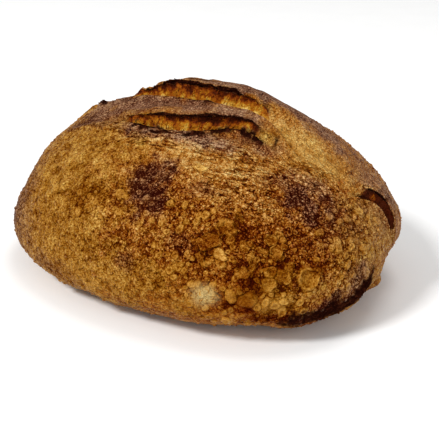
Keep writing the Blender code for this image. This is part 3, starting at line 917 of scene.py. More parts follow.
class Finish:
    """A Principled material whose colour, roughness and bump come from nodes."""

    def __init__(self, name):
        self.material = bpy.data.materials.get(name) or bpy.data.materials.new(name)
        self.material.use_nodes = True
        self.tree = self.material.node_tree
        self.shader = self.tree.nodes["Principled BSDF"]
        self.place = self.node("ShaderNodeTexCoord").outputs["Object"]
        self.colours = bpy.context.scene.loaf_colours

    def node(self, kind, **settings):
        made = self.tree.nodes.new(kind)
        for key, value in settings.items():
            setattr(made, key, value)
        return made

    def feed(self, socket, value):
        if isinstance(value, bpy.types.NodeSocket):
            self.tree.links.new(value, socket)
        else:
            socket.default_value = value

    def sum(self, operation, first, second, clamp=False):
        made = self.node("ShaderNodeMath", operation=operation, use_clamp=clamp)
        self.feed(made.inputs[0], first)
        self.feed(made.inputs[1], second)
        return made.outputs[0]

    def add(self, first, second):
        return self.sum("ADD", first, second)

    def times(self, first, second):
        return self.sum("MULTIPLY", first, second)

    def attribute(self, name):
        return self.node("ShaderNodeAttribute", attribute_name=name).outputs["Fac"]

    def stretched(self, scale):
        made = self.node("ShaderNodeMapping")
        self.feed(made.inputs["Vector"], self.place)
        made.inputs["Scale"].default_value = scale
        return made.outputs["Vector"]

    def noise(self, length, detail=2.0, roughness=0.5, place=None):
        made = self.node("ShaderNodeTexNoise")
        self.feed(made.inputs["Vector"], place or self.place)
        made.inputs["Scale"].default_value = 1 / length
        made.inputs["Detail"].default_value = detail
        made.inputs["Roughness"].default_value = roughness
        return made.outputs[0]

    def cells(self, length, feature="F1", randomness=1.0, place=None):
        made = self.node("ShaderNodeTexVoronoi", feature=feature)
        self.feed(made.inputs["Vector"], place or self.place)
        made.inputs["Scale"].default_value = 1 / length
        made.inputs["Randomness"].default_value = randomness
        return made.outputs["Distance"]

    def wobbled(self, length, amount):
        """The place, moved about by noise so that cells come out uneven."""
        made = self.node("ShaderNodeTexNoise")
        self.feed(made.inputs["Vector"], self.place)
        made.inputs["Scale"].default_value = 1 / length
        made.inputs["Detail"].default_value = 1.0
        centre = self.node("ShaderNodeVectorMath", operation="SUBTRACT")
        self.feed(centre.inputs[0], made.outputs["Color"])
        centre.inputs[1].default_value = (0.5, 0.5, 0.5)
        moved = self.node("ShaderNodeVectorMath", operation="MULTIPLY_ADD")
        self.feed(moved.inputs[0], centre.outputs[0])
        moved.inputs[1].default_value = (amount, amount, amount)
        self.feed(moved.inputs[2], self.place)
        return moved.outputs[0]

    def centred(self, value, amount):
        """amount times value, moved so that a value of 0.5 gives 0."""
        made = self.node("ShaderNodeMath", operation="MULTIPLY_ADD")
        self.feed(made.inputs[0], value)
        made.inputs[1].default_value = amount
        made.inputs[2].default_value = -amount / 2
        return made.outputs[0]

    def between(self, value, low, high):
        made = self.node("ShaderNodeMapRange", interpolation_type="SMOOTHSTEP")
        self.feed(made.inputs["Value"], value)
        made.inputs["From Min"].default_value = low
        made.inputs["From Max"].default_value = high
        return made.outputs["Result"]

    def ramp(self, value, stops):
        made = self.node("ShaderNodeValToRGB")
        elements = made.color_ramp.elements
        while len(elements) < len(stops):
            elements.new(1.0)
        for element, (place, colour) in zip(elements, stops):
            element.position = place
            element.color = colour
        self.feed(made.inputs["Fac"], value)
        return made.outputs["Color"]

    def mix(self, share, first, second, blend="MIX"):
        made = self.node("ShaderNodeMix", data_type="RGBA", blend_type=blend)
        self.feed(made.inputs[0], share)
        self.feed(made.inputs[6], first)
        self.feed(made.inputs[7], second)
        return made.outputs[2]

    def bump(self, height, distance, strength=1.0, normal=None):
        made = self.node("ShaderNodeBump")
        made.inputs["Strength"].default_value = strength
        made.inputs["Distance"].default_value = distance
        self.feed(made.inputs["Height"], height)
        if normal is not None:
            self.feed(made.inputs["Normal"], normal)
        return made.outputs["Normal"]


def fold_lines(finish):
    """Thin lines along the loaf, 1 in the crease of each small fold."""
    folds = finish.noise(1.0, 2.0, 0.5, finish.stretched((48, 310, 310)))
    off_middle = finish.sum("ABSOLUTE", finish.sum("SUBTRACT", folds, 0.5), 0.0)
    return finish.sum("SUBTRACT", 1.0, finish.between(off_middle, 0.0, 0.055))


def crust_tone(finish, speckled=1.0):
    """How dark the skin is, before its colours: broad bake, mottling, fine specks, and painted shade in the
    creases of the small folds.
    """
    grain = finish.attribute("grain")
    tone = finish.add(finish.attribute("bake"), finish.centred(finish.noise(0.012, 3.0, 0.6), 0.30))
    mottle = finish.centred(finish.noise(1.0, 3.0, 0.65, finish.stretched((150, 260, 260))), 0.46)
    tone = finish.add(tone, finish.times(mottle, finish.add(0.75, finish.times(grain, 0.45))))
    streaks = finish.centred(finish.noise(1.0, 3.0, 0.6, finish.stretched((80, 420, 420))), 0.90)
    # painted shade: the creases of the small folds are darkened in the colour
    streaks = finish.add(streaks, finish.times(fold_lines(finish), 0.38))
    tone = finish.add(tone, finish.times(streaks, finish.attribute("wrinkle")))
    specks = finish.centred(finish.noise(0.0010, 2.0, 0.7), 1.46 * speckled)
    more = finish.add(finish.times(grain, 0.42), finish.times(finish.attribute("mauve"), 0.85))
    return finish.add(tone, finish.times(specks, finish.add(1.0, more)))


def skin_colour(finish, tone, more_gold=0.0):
    """The skin's colour: baked gold to black-brown, dull mauve, floury and burnt places."""
    gold = finish.add(finish.attribute("gold"), finish.centred(finish.noise(0.010, 2.0, 0.6), 1.10))
    gold = finish.add(gold, more_gold)
    colour = finish.mix(
        finish.sum("MAXIMUM", finish.sum("MINIMUM", gold, 1.0), 0.0),
        finish.ramp(tone, shades(RED_RAMP, finish.colours.red_crust)),
        finish.ramp(tone, shades(GOLD_RAMP, finish.colours.gold_crust)),
    )
    dull = finish.ramp(tone, shades(DULL_RAMP, finish.colours.dull_crust))
    colour = finish.mix(finish.times(finish.attribute("mauve"), 0.85), colour, dull)
    fine = finish.noise(0.0016, 2.0, 0.6)
    dusting = finish.times(finish.attribute("pale"), finish.between(fine, 0.30, 0.52))
    colour = finish.mix(dusting, colour, (*finish.colours.flour, 1.0))
    burnt = finish.add(finish.attribute("char"), finish.centred(finish.noise(0.0026, 3.0, 0.7), 0.75))
    burnt = finish.between(burnt, 0.20, 0.90)
    char = finish.mix(
        finish.between(finish.noise(0.0030, 3.0, 0.7), 0.48, 0.72),
        (*finish.colours.black_char, 1.0), (*finish.colours.red_char, 1.0),
    )
    return finish.mix(burnt, colour, char), burnt


def cell_pattern(finish):
    """Two sizes of uneven cells in the skin, and how far each place is into the gaps between them, which the
    finishes darken as painted shade, partly also a darker-baked skin.
    """
    uneven = finish.wobbled(0.0032, 0.0024)
    broad, fine = finish.cells(0.0027, place=uneven), finish.cells(0.0013, place=uneven)
    gap_shade = finish.add(
        finish.times(finish.between(broad, 0.34, 0.80), 0.22),
        finish.times(finish.between(fine, 0.34, 0.85), 0.22),
    )
    deep = finish.add(0.60, finish.times(finish.attribute("grain"), 0.45))
    return broad, fine, finish.times(gap_shade, deep)


def set_gloss(finish, tone, burnt, level):
    """A warm gloss that fades out where the crust is darkest, as char has none."""
    dark = finish.sum("MAXIMUM", burnt, finish.between(tone, 0.52, 0.90))
    finish.feed(
        finish.shader.inputs["Specular IOR Level"],
        finish.times(finish.sum("SUBTRACT", 1.0, dark, True), level),
    )
    finish.shader.inputs["Specular Tint"].default_value = WARM_GLOSS


def crumb_colour(finish):
    """Torn crumb, from painted shade under an ear down to the crumb's own bright colour at the lip."""
    depth = finish.add(finish.attribute("depth"), finish.centred(finish.noise(0.0052, 2.0, 0.55), 1.05))
    fingers = finish.noise(1.0, 2.0, 0.6, finish.stretched((300, 110, 110)))
    depth = finish.add(depth, finish.centred(fingers, 0.28))
    depth = finish.add(depth, finish.centred(finish.attribute("strand"), 0.30))
    depth = finish.add(depth, finish.centred(finish.noise(0.0014, 3.0, 0.65), 0.50))
    # painted shade in the pits of the torn crumb
    pit_shade = finish.between(finish.cells(0.0024, place=finish.wobbled(0.0032, 0.0024)), 0.40, 0.85)
    depth = finish.add(finish.add(depth, 0.06), finish.times(pit_shade, -0.30))
    return finish.ramp(depth, shades(CRUMB_RAMP, finish.colours.crumb))


def crust_finish():
    finish = Finish("baked_crust")
    broad_cells, fine_cells, gap_shade = cell_pattern(finish)
    # painted shade in the gaps between the raised cells
    tone = finish.add(finish.add(crust_tone(finish), -0.09), gap_shade)
    # painted shade: darker colour in the crust's hollows, from low
    tone = finish.add(tone, finish.centred(finish.attribute("low"), 0.34))
    tone = finish.add(tone, finish.times(finish.attribute("broad"), 0.10))
    colour, burnt = skin_colour(finish, tone)
    torn = finish.times(finish.attribute("crumb"), finish.sum("SUBTRACT", 1.0, burnt, True))
    colour = finish.mix(torn, colour, crumb_colour(finish))
    finish.feed(finish.shader.inputs["Base Color"], colour)
    rough = finish.add(0.50, finish.centred(finish.noise(0.0032, 2.0, 0.6), 0.30))
    rough = finish.add(rough, finish.times(finish.attribute("mauve"), 0.12))
    finish.feed(finish.shader.inputs["Roughness"], finish.add(rough, finish.times(burnt, 0.30)))
    height = finish.add(
        finish.times(finish.sum("SUBTRACT", 1.0, finish.times(broad_cells, broad_cells), True), 0.60),
        finish.times(finish.sum("SUBTRACT", 1.0, finish.times(fine_cells, fine_cells), True), 0.34),
    )
    height = finish.times(height, finish.sum("SUBTRACT", 1.0, finish.times(finish.attribute("crumb"), 0.45)))
    height = finish.add(height, finish.times(finish.noise(0.0009, 2.0, 0.6), 0.34))
    creases = finish.times(fold_lines(finish), finish.attribute("wrinkle"))
    height = finish.add(height, finish.times(creases, -0.40))
    finish.feed(finish.shader.inputs["Normal"], finish.bump(height, 0.0034, 1.0))
    set_gloss(finish, tone, burnt, 0.08)
    return finish.material


def blister_finish(name, speckled, contrast, more_gold, gloss):
    """A blister's skin: paler where it rises, partly as thin skin and partly as a painted highlight, and a
    little darker at its foot, as painted shade.
    """
    finish = Finish(name)
    _, fine_cells, gap_shade = cell_pattern(finish)
    contrast = finish.add(contrast, finish.times(finish.attribute("grain"), -0.10))
    # painted highlight and shade: lighter towards the blister's top (dome), darker at its foot
    tone = finish.add(
        crust_tone(finish, speckled), finish.times(finish.add(finish.attribute("dome"), -0.30), contrast)
    )
    # painted shade in the gaps between the raised cells
    tone = finish.add(tone, finish.times(gap_shade, 0.40 * speckled))
    tone = finish.add(finish.add(tone, finish.attribute("tint")), 0.03)
    # painted highlight: pale specks on the tops of blisters on smoky crust
    specks = finish.times(finish.attribute("smoke"), finish.times(finish.attribute("dome"), -0.20))
    tone = finish.add(tone, specks)
    colour, burnt = skin_colour(finish, tone, more_gold)
    finish.feed(finish.shader.inputs["Base Color"], colour)
    rough = finish.add(0.32, finish.centred(finish.noise(0.0025, 2.0, 0.6), 0.26))
    finish.feed(finish.shader.inputs["Roughness"], rough)
    height = finish.add(
        finish.times(finish.noise(0.0010, 2.0, 0.6), 0.6),
        finish.times(finish.sum("SUBTRACT", 1.0, finish.times(fine_cells, fine_cells), True), 0.5),
    )
    finish.feed(finish.shader.inputs["Normal"], finish.bump(height, 0.0012, 0.9))
    set_gloss(finish, tone, burnt, gloss)
    return finish.material


# --- blisters and flakes ---------------------------------------------------------------------


def stamp(name, sides, profile, peak):
    """One blister to copy: a closed disc extruded ring by ring through (radius, height)."""
    (radius, height), *rings = profile
    bpy.ops.object.select_all(action="DESELECT")
    bpy.ops.mesh.primitive_circle_add(
        vertices=sides, radius=radius, fill_type="NGON", location=(0, 0, 0)
    )
    blister = bpy.context.object
    blister.name = name
    bpy.ops.object.mode_set(mode="EDIT")
    bpy.ops.mesh.select_all(action="SELECT")
    bpy.ops.transform.translate(value=(0, 0, height))
    for wider, higher in rings:
        bpy.ops.mesh.extrude_region_move(TRANSFORM_OT_translate={"value": (0, 0, higher - height)})
        bpy.ops.transform.resize(value=(wider / radius, wider / radius, 1), center_override=(0, 0, higher))
        radius, height = wider, higher
    bpy.ops.mesh.poke(offset=0.0)
    bpy.ops.mesh.select_all(action="SELECT")
    bpy.ops.mesh.normals_make_consistent(inside=False)
    bpy.ops.object.mode_set(mode="OBJECT")
    mesh = blister.data
    top = max(mesh.vertices, key=lambda v: (v.co.z >= height - 1e-5, -v.co.xy.length))
    top.co.z = peak
    # dome, 0 at the foot and 1 at the top, sets the painted highlight towards the blister's top and the painted
    # shade at its foot.
    dome = mesh.attributes.new("dome", "FLOAT", "POINT")
    heights = [v.co.z for v in mesh.vertices]
    for item, z in zip(dome.data, heights):
        item.value = max(0.0, min(1.0, z / max(heights)))
    bpy.ops.object.shade_smooth()
    return blister


def socket(node, name):
    return next(s for s in node.inputs if s.name == name and s.enabled)


def scatter(name, crust, stamps, spacing, per_area, where, sizes, heights, seed, avoid=(), ragged=0.0):
    """Copies the stamps over the crust, where its attribute allows, as one joined mesh.

    sizes and heights are (least, most) radii and heights of the copies.
    """
    kit = bpy.data.collections.new(name + "_stamps")
    for each in stamps:
        kit.objects.link(each)
    tree = bpy.data.node_groups.new(name, "GeometryNodeTree")
    tree.interface.new_socket("Geometry", in_out="OUTPUT", socket_type="NodeSocketGeometry")

    def node(kind, **settings):
        made = tree.nodes.new(kind)
        for key, value in settings.items():
            setattr(made, key, value)
        return made

    def link(output, target):
        tree.links.new(output, target)

    def random(low, high, number, vector=False):
        made = node("FunctionNodeRandomValue", data_type="FLOAT_VECTOR" if vector else "FLOAT")
        socket(made, "Min").default_value = low
        socket(made, "Max").default_value = high
        socket(made, "Seed").default_value = seed * 10 + number
        return next(s for s in made.outputs if s.enabled)

    ground = node("GeometryNodeObjectInfo")
    ground.inputs["Object"].default_value = crust
    points = node("GeometryNodeDistributePointsOnFaces", distribute_method="POISSON")
    link(ground.outputs["Geometry"], points.inputs["Mesh"])
    socket(points, "Distance Min").default_value = spacing
    socket(points, "Density Max").default_value = per_area
    socket(points, "Seed").default_value = seed
    allowed = node("GeometryNodeInputNamedAttribute", data_type="FLOAT")
    allowed.inputs["Name"].default_value = where
    share = next(s for s in allowed.outputs if s.enabled)
    for other, clearance in avoid:
        info = node("GeometryNodeObjectInfo")
        info.inputs["Object"].default_value = other
        near = node("GeometryNodeProximity")
        link(info.outputs["Geometry"], near.inputs[0])
        apart = node("ShaderNodeMath", operation="GREATER_THAN")
        link(near.outputs["Distance"], apart.inputs[0])
        apart.inputs[1].default_value = clearance
        both = node("ShaderNodeMath", operation="MULTIPLY")
        link(share, both.inputs[0])
        link(apart.outputs[0], both.inputs[1])
        share = both.outputs[0]
    link(share, socket(points, "Density Factor"))
    shapes = node("GeometryNodeCollectionInfo")
    shapes.inputs["Collection"].default_value = kit
    shapes.inputs["Separate Children"].default_value = True
    shapes.inputs["Reset Children"].default_value = True
    spin = node("FunctionNodeRotateRotation", rotation_space="LOCAL")
    link(points.outputs["Rotation"], spin.inputs[0])
    turn = node("FunctionNodeAxisAngleToRotation")
    turn.inputs["Axis"].default_value = (0, 0, 1)
    link(random(0.0, 2 * math.pi, 1), turn.inputs["Angle"])
    link(turn.outputs[0], spin.inputs[1])
    copies = node("GeometryNodeInstanceOnPoints")
    link(points.outputs["Points"], copies.inputs["Points"])
    link(shapes.outputs[0], copies.inputs["Instance"])
    copies.inputs["Pick Instance"].default_value = True
    link(spin.outputs[0], copies.inputs["Rotation"])
    # small ones are commoner than large ones
    lean = node("ShaderNodeMath", operation="POWER")
    link(random(0.0, 1.0, 2), lean.inputs[0])
    lean.inputs[1].default_value = 1.8
    size = node("ShaderNodeMapRange")
    link(lean.outputs[0], size.inputs["Value"])
    size.inputs["To Min"].default_value = sizes[0]
    size.inputs["To Max"].default_value = sizes[1]
    high = node("ShaderNodeMapRange")
    link(lean.outputs[0], high.inputs["Value"])
    high.inputs["To Min"].default_value = heights[0]
    high.inputs["To Max"].default_value = heights[1]
    parts = node("ShaderNodeCombineXYZ")
    link(size.outputs[0], parts.inputs["X"])
    link(size.outputs[0], parts.inputs["Y"])
    link(high.outputs[0], parts.inputs["Z"])
    uneven = node("ShaderNodeVectorMath", operation="MULTIPLY")
    link(parts.outputs[0], uneven.inputs[0])
    link(random((0.78, 0.78, 0.7), (1.28, 1.0, 1.25), 3, True), uneven.inputs[1])
    link(uneven.outputs[0], copies.inputs["Scale"])
    tint = node("GeometryNodeStoreNamedAttribute", data_type="FLOAT", domain="INSTANCE")
    tint.inputs["Name"].default_value = "tint"
    link(copies.outputs[0], tint.inputs["Geometry"])
    link(random(-0.14, 0.12, 4), next(s for s in tint.inputs if s.name == "Value" and s.enabled))
    joined = node("GeometryNodeRealizeInstances")
    link(tint.outputs[0], joined.inputs[0])
    last = joined.outputs[0]
    if ragged:
        rough = node("ShaderNodeTexNoise")
        rough.inputs["Scale"].default_value = 1 / 0.0024
        rough.inputs["Detail"].default_value = 1.0
        middle = node("ShaderNodeVectorMath", operation="SUBTRACT")
        link(rough.outputs["Color"], middle.inputs[0])
        middle.inputs[1].default_value = (0.5, 0.5, 0.5)
        amount = node("ShaderNodeVectorMath", operation="SCALE")
        link(middle.outputs[0], amount.inputs[0])
        amount.inputs["Scale"].default_value = ragged
        moved = node("GeometryNodeSetPosition")
        link(last, moved.inputs["Geometry"])
        link(amount.outputs[0], moved.inputs["Offset"])
        last = moved.outputs[0]
    group_out = node("NodeGroupOutput")
    link(last, group_out.inputs[0])

    mesh = bpy.data.meshes.new(name)
    piece = bpy.data.objects.new(name, mesh)
    bpy.context.scene.collection.objects.link(piece)
    bpy.ops.object.select_all(action="DESELECT")
    piece.select_set(True)
    bpy.context.view_layer.objects.active = piece
    modifier = piece.modifiers.new("scatter", "NODES")
    modifier.node_group = tree
    bpy.ops.object.modifier_apply(modifier=modifier.name)
    for each in stamps:
        bpy.data.objects.remove(each, do_unlink=True)
    bpy.data.collections.remove(kit)
    bpy.data.node_groups.remove(tree)
    if not piece.data.polygons:
        raise RuntimeError(f"{name}: nothing was scattered")
    bpy.ops.object.shade_smooth()
    return piece


class OnCrust:
    """A mesh of small pieces standing on the crust, each of their corners coloured as the crust below."""

    def __init__(self, crust):
        mesh = crust.data
        self.shell = BVHTree.FromObject(crust, bpy.context.evaluated_depsgraph_get())
        self.nearest = KDTree(len(mesh.vertices))
        for vertex in mesh.vertices:
            self.nearest.insert(vertex.co, vertex.index)
        self.nearest.balance()
        self.sources = {name: mesh.attributes[name].data for name in CRUST_ATTRIBUTES}
        self.made = bmesh.new()
        self.layers = {
            name: self.made.verts.layers.float.new(name) for name in (*CRUST_ATTRIBUTES, "dome", "tint")
        }

    def ground(self, place):
        """The nearest point of the crust, and the direction out of it."""
        spot, outward, _, _ = self.shell.find_nearest(place)
        return spot, outward

    def frame(self, place, turn):
        """Right and up along the crust, turned by degrees, and outward."""
        outward = self.ground(place)[1]
        right = outward.cross(Vector((1, 0, 0)).cross(outward)).normalized()
        right.rotate(Quaternion(outward, math.radians(turn)))
        return right, outward.cross(right), outward

    def corner(self, place, ground, **values):
        made = self.made.verts.new(place)
        _, index, _ = self.nearest.find(ground)
        for name, source in self.sources.items():
            made[self.layers[name]] = source[index].value
        for name, value in values.items():
            made[self.layers[name]] = value
        return made

    def skin(self, rows):
        """Faces between rows of corners; a row of one corner is a tip."""
        for lower, upper in zip(rows, rows[1:]):
            sides = max(len(lower), len(upper))
            for i in range(sides):
                j = (i + 1) % sides
                if len(lower) == 1:
                    self.made.faces.new((lower[0], upper[j], upper[i]))
                elif len(upper) == 1:
                    self.made.faces.new((lower[i], lower[j], upper[0]))
                else:
                    self.made.faces.new((lower[i], lower[j], upper[j], upper[i]))

    def piece(self, name):
        piece = bpy.data.objects.new(name, bpy.data.meshes.new(name))
        bpy.context.scene.collection.objects.link(piece)
        bmesh.ops.recalc_face_normals(self.made, faces=self.made.faces)
        self.made.to_mesh(piece.data)
        self.made.free()
        piece.data.shade_smooth()
        return piece


def blister_profile(reach, dip):
    """(Share of the reach, lift) from a blister's buried skirt over its rim to its middle."""
    rim = min(RIM_SHARES[1], max(RIM_SHARES[0], RIM_WIDTH / reach))
    return (
        (1.16, -0.25), (1.02, 0.04), (1 - 0.30 * rim, 0.42), (1 - 0.62 * rim, 0.82), (1 - rim, 1.0),
        (1 - 1.5 * rim, 1 - 0.30 * dip), (1 - 2.1 * rim, 1 - 0.75 * dip), (0.0, 1 - dip),
    )


def lay_blisters(name, crust, blisters, seed):
    """Broad blisters that follow the crust: (middle, reach along, reach across, height, dip, turn) each."""
    cover = OnCrust(crust)
    chance = np.random.default_rng(seed)
    for middle, along, across, height, dip, turn in blisters:
        right, up, outward = cover.frame(middle, turn)
        waves = [
            (k, chance.uniform(0.05, 0.26) / (k - 0.4), chance.uniform(0, 2 * math.pi)) for k in (2, 3, 4, 5)
        ]
        tint = chance.uniform(-0.08, 0.05) - (0.06 if max(along, across) > LARGE_BLISTER else 0.0)
        sides = BROAD_SIDES if max(along, across) < LARGE_BLISTER else 2 * BROAD_SIDES
        rows = []
        for reach, lift in blister_profile(max(along, across), dip):
            row = []
            for side in range(sides if reach else 1):
                turned = 2 * math.pi * side / sides
                bulge = 1 + sum(size * math.sin(k * turned + phase) for k, size, phase in waves)
                wobble = chance.uniform(-0.16, 0.16) if lift > 0.3 else 0.0
                spot = middle + reach * bulge * (
                    math.cos(turned) * along * right + math.sin(turned) * across * up
                )
                ground, normal = cover.ground(spot)
                way = outward.lerp(normal, 0.4).normalized()
                # dome, from the lift, sets the painted highlight on the rim and top and the painted shade at the
                # foot.
                row.append(cover.corner(
                    ground + way * height * (lift + wobble), ground,
                    dome=max(0.0, min(1.0, lift + wobble)), tint=tint,
                ))
            rows.append(row)
        cover.skin(rows)
    return cover.piece(name)


def lay_shreds(name, crust, middles, seed):
    """Tapered threads of crumb, from under the ear towards the lip."""
    cover = OnCrust(crust)
    chance = np.random.default_rng(seed)
    for middle in middles:
        right, up, _ = cover.frame(middle, chance.uniform(-28, 28))
        length = chance.uniform(0.0022, 0.0052)
        thick = chance.uniform(0.00022, 0.00046)
        bow = chance.uniform(-0.0006, 0.0006)
        rows = []
        for step in range(SHRED_STEPS + 1):
            share = 2 * step / SHRED_STEPS - 1
            spot = middle + up * length / 2 * share + right * bow * share**2
            ground, outward = cover.ground(spot)
            radius = thick * math.sqrt(max(0.0, 1 - share**2)) * chance.uniform(0.8, 1.2)
            centre = ground + outward * thick * (0.5 - 1.3 * share**2)
            side = up.cross(outward).normalized()
            count = SHRED_SIDES if 0 < step < SHRED_STEPS else 1
            rows.append([
                cover.corner(
                    centre + radius * (math.cos(a) * side + math.sin(a) * outward), ground, tint=0.0, dome=1.0,
                )
                for a in (2 * math.pi * i / SHRED_SIDES for i in range(count))
            ])
        cover.skin(rows)
    # the shreds stand out of the score, so they get less of the crumb's painted shade than the crumb below them
    for vertex in cover.made.verts:
        vertex[cover.layers["depth"]] += 0.12
    return cover.piece(name)


def lay_flakes(name, crust, middles, seed):
    """Burnt crumbs of crust standing up from the ears' edges."""
    cover = OnCrust(crust)
    chance = np.random.default_rng(seed)
    for middle in middles:
        ground, _ = cover.ground(middle)
        size = FLAKE_SIZES[0] + (FLAKE_SIZES[1] - FLAKE_SIZES[0]) * chance.random() ** 2
        right, up, outward = cover.frame(middle, chance.uniform(0, 360))
        flat = chance.uniform(0.35, 0.7)
        rows = []
        for lift, wide in ((-0.8, 0.5), (-0.1, 1.0), (0.6, 0.8)):
            row = []
            for side in range(FLAKE_SIDES):
                turned = 2 * math.pi * side / FLAKE_SIDES
                reach = size * wide * chance.uniform(0.65, 1.2)
                spot = ground + reach * (math.cos(turned) * right + flat * math.sin(turned) * up)
                row.append(cover.corner(spot + outward * size * lift * chance.uniform(0.7, 1.1), ground))
            rows.append(row)
        rows.append([cover.corner(ground + outward * size * chance.uniform(0.8, 1.1), ground)])
        cover.skin([[cover.corner(ground - outward * size, ground)], *rows])
    return cover.piece(name)


def strewn(crust, mask, count, apart, seed):
    """Middles for random pieces where the crust's mask allows, none nearer than apart."""
    mesh = crust.data
    share = np.empty(len(mesh.vertices), np.float32)
    mesh.attributes[mask].data.foreach_get("value", share)
    chance = np.random.default_rng(seed)
    order = chance.permutation(len(share))
    kept = []
    for index in order[chance.random(len(order)) < share[order]]:
        spot = mesh.vertices[int(index)].co
        if all((spot - other).length_squared > apart**2 for other in kept):
            kept.append(spot.copy())
        if len(kept) == count:
            break
    return kept


def finished(piece, material):
    piece.data.materials.clear()
    piece.data.materials.append(material)
    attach(piece, "root")
    return piece


# --- operators -------------------------------------------------------------------------------


class LoafSizes(bpy.types.PropertyGroup):
    fine_spacing: bpy.props.FloatProperty(
        name="Fine blister spacing", description="Least distance between the middles of fine blisters",
        default=0.0014, min=0.001, unit="LENGTH",
    )
    small_spacing: bpy.props.FloatProperty(
        name="Small blister spacing", description="Least distance between the middles of small blisters",
        default=0.0023, min=0.001, unit="LENGTH",
    )
    broad_spacing: bpy.props.FloatProperty(
        name="Broad blister spacing", description="Least distance between the middles of broad blisters",
        default=0.0034, min=0.002, unit="LENGTH",
    )
    broad_count: bpy.props.IntProperty(
        name="Broad blisters", description="Most broad blisters strewn between the large ones",
        default=420, min=1,
    )
    shred_count: bpy.props.IntProperty(
        name="Crumb shreds", description="Most shreds of torn crumb laid in the scores", default=260, min=1,
    )
    flake_count: bpy.props.IntProperty(
        name="Burnt flakes", description="Most burnt flakes on the scores' edges", default=150, min=1,
    )


def colour_property(name, description, default):
    return bpy.props.FloatVectorProperty(
        name=name, description=description, default=default, min=0.0, max=1.0, subtype="COLOR"
    )


class LoafColours(bpy.types.PropertyGroup):
    red_crust: colour_property(
        "Red-brown crust", "Middle colour of the crust where it baked red-brown", RED_RAMP[len(RED_RAMP) // 2][1]
    )
    gold_crust: colour_property(
        "Golden crust", "Middle colour of the crust where it baked golden", GOLD_RAMP[len(GOLD_RAMP) // 2][1]
    )
    dull_crust: colour_property(
        "Dull crust", "Middle colour of the dull mauve skin on the crown", DULL_RAMP[len(DULL_RAMP) // 2][1]
    )
    crumb: colour_property(
        "Torn crumb", "Middle colour of the crumb torn open in the scores", CRUMB_RAMP[len(CRUMB_RAMP) // 2][1]
    )
    black_char: colour_property("Black char", "Burnt edges and patches, where blackest", (0.017, 0.0036, 0.0018))
    red_char: colour_property("Red char", "Burnt edges and patches, where least black", (0.075, 0.017, 0.007))
    flour: colour_property("Flour", "Floury spots low on the crust", (0.50, 0.35, 0.135))
    floor: colour_property("Floor", "Paper the loaf stands on", (0.945, 0.945, 0.94))


class OBJECT_OT_loaf_crust(bpy.types.Operator):
    """Builds the crust with its scores, ears and torn crumb"""

    bl_idname = "object.loaf_crust"
    bl_label = "Crust"

    def execute(self, context):
        bpy.ops.object.select_all(action="DESELECT")
        grid = CrustGrid()
        smooth = grid.placed()
        middle = (smooth.reshape(-1, 3).min(0) + smooth.reshape(-1, 3).max(0)) / 2
        paint_masks(grid)
        relieve(grid)
        masks = grid.masks
        outside = smooth_step(0.0075, 0.011, grid.point[..., 2]) * (1 - masks["crumb"])
        masks["fine"] = outside * (1 - masks["edge"]) * np.maximum(0, 0.24 + 0.76 * masks["grain"]) * (1 - masks["pale"])
        masks["fine"] *= 1 - 0.5 * masks["mauve"]
        flake_places = (0.12 * masks["edge"] + patches_at(grid.point, FLAKE_PATCHES, 0.2, 50)) * masks["char"]
        masks["flaky"] = np.clip(flake_places, 0, 1)
        masks["broad"] = outside * patches_at(grid.point, BUBBLE_PATCHES, 0.3, 40)
        points = grid.placed() - [middle[0], middle[1], 0.0]
        crust = crust_mesh(grid, points)
        crust["middle"] = (float(middle[0]), float(middle[1]))
        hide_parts("loaf")
        finished(crust, crust_finish())
        return {"FINISHED"}


class OBJECT_OT_loaf_blisters(bpy.types.Operator):
    """Scatters the broad, small and fine blisters over the crust"""

    bl_idname = "object.loaf_blisters"
    bl_label = "Blisters"

    def execute(self, context):
        sizes = context.scene.loaf_sizes
        crust = bpy.data.objects["crust"]
        middle = Vector((*crust["middle"], 0.0))
        chance = np.random.default_rng(9)
        blisters = []
        for station, angle, *form in BUBBLES:
            blisters.append((Vector(bare_point(station, angle)) - middle, *form))
        for spot in strewn(crust, "broad", sizes.broad_count, sizes.broad_spacing, 11):
            if all((spot - other[0]).length > 1.1 * max(other[1:3]) for other in blisters[:len(BUBBLES)]):
                reach = 0.0010 + 0.0018 * chance.random() ** 1.8
                form = (reach * chance.uniform(0.9, 1.3), reach * chance.uniform(0.8, 1.1))
                dip = chance.choice((0.1, 0.6, 0.9))
                blisters.append((spot, *form, 0.36 * reach, dip, chance.uniform(0, 90)))
        broad = lay_blisters("broad_blisters", crust, blisters, 3)
        small = scatter(
            "small_blisters", crust, [stamp("small", 7, ((1.0, -0.4), (0.74, 0.60)), 1.0)],
            sizes.small_spacing, 160000.0, "fine",
            (0.0008, 0.0016), (0.0005, 0.0008), 5, avoid=((broad, 0.0006),), ragged=0.0006,
        )
        fine = scatter(
            "fine_blisters", crust, [stamp("tiny", 6, ((1.0, -0.4),), 0.95)],
            sizes.fine_spacing, 900000.0, "fine",
            (0.0005, 0.0009), (0.0003, 0.0005), 7, avoid=((broad, 0.0004), (small, 0.0002)),
        )
        finished(broad, blister_finish("broad_blister_skin", 0.60, -0.20, 0.70, 0.14))
        skin = blister_finish("blistered_skin", 1.0, -0.13, 0.0, 0.40)
        for piece in (small, fine):
            finished(piece, skin)
        return {"FINISHED"}


class OBJECT_OT_loaf_shreds(bpy.types.Operator):
    """Lays the shreds of torn crumb in the scores and the burnt flakes on their edges"""

    bl_idname = "object.loaf_shreds"
    bl_label = "Shreds and flakes"

    def execute(self, context):
        sizes = context.scene.loaf_sizes
        crust = bpy.data.objects["crust"]
        skin = bpy.data.materials["baked_crust"]
        shreds = lay_shreds("crumb_shreds", crust, strewn(crust, "crumb", sizes.shred_count, 0.0012, 21), 22)
        flakes = lay_flakes("burnt_flakes", crust, strewn(crust, "flaky", sizes.flake_count, 0.0010, 23), 24)
        for piece in (shreds, flakes):
            finished(piece, skin)
        return {"FINISHED"}


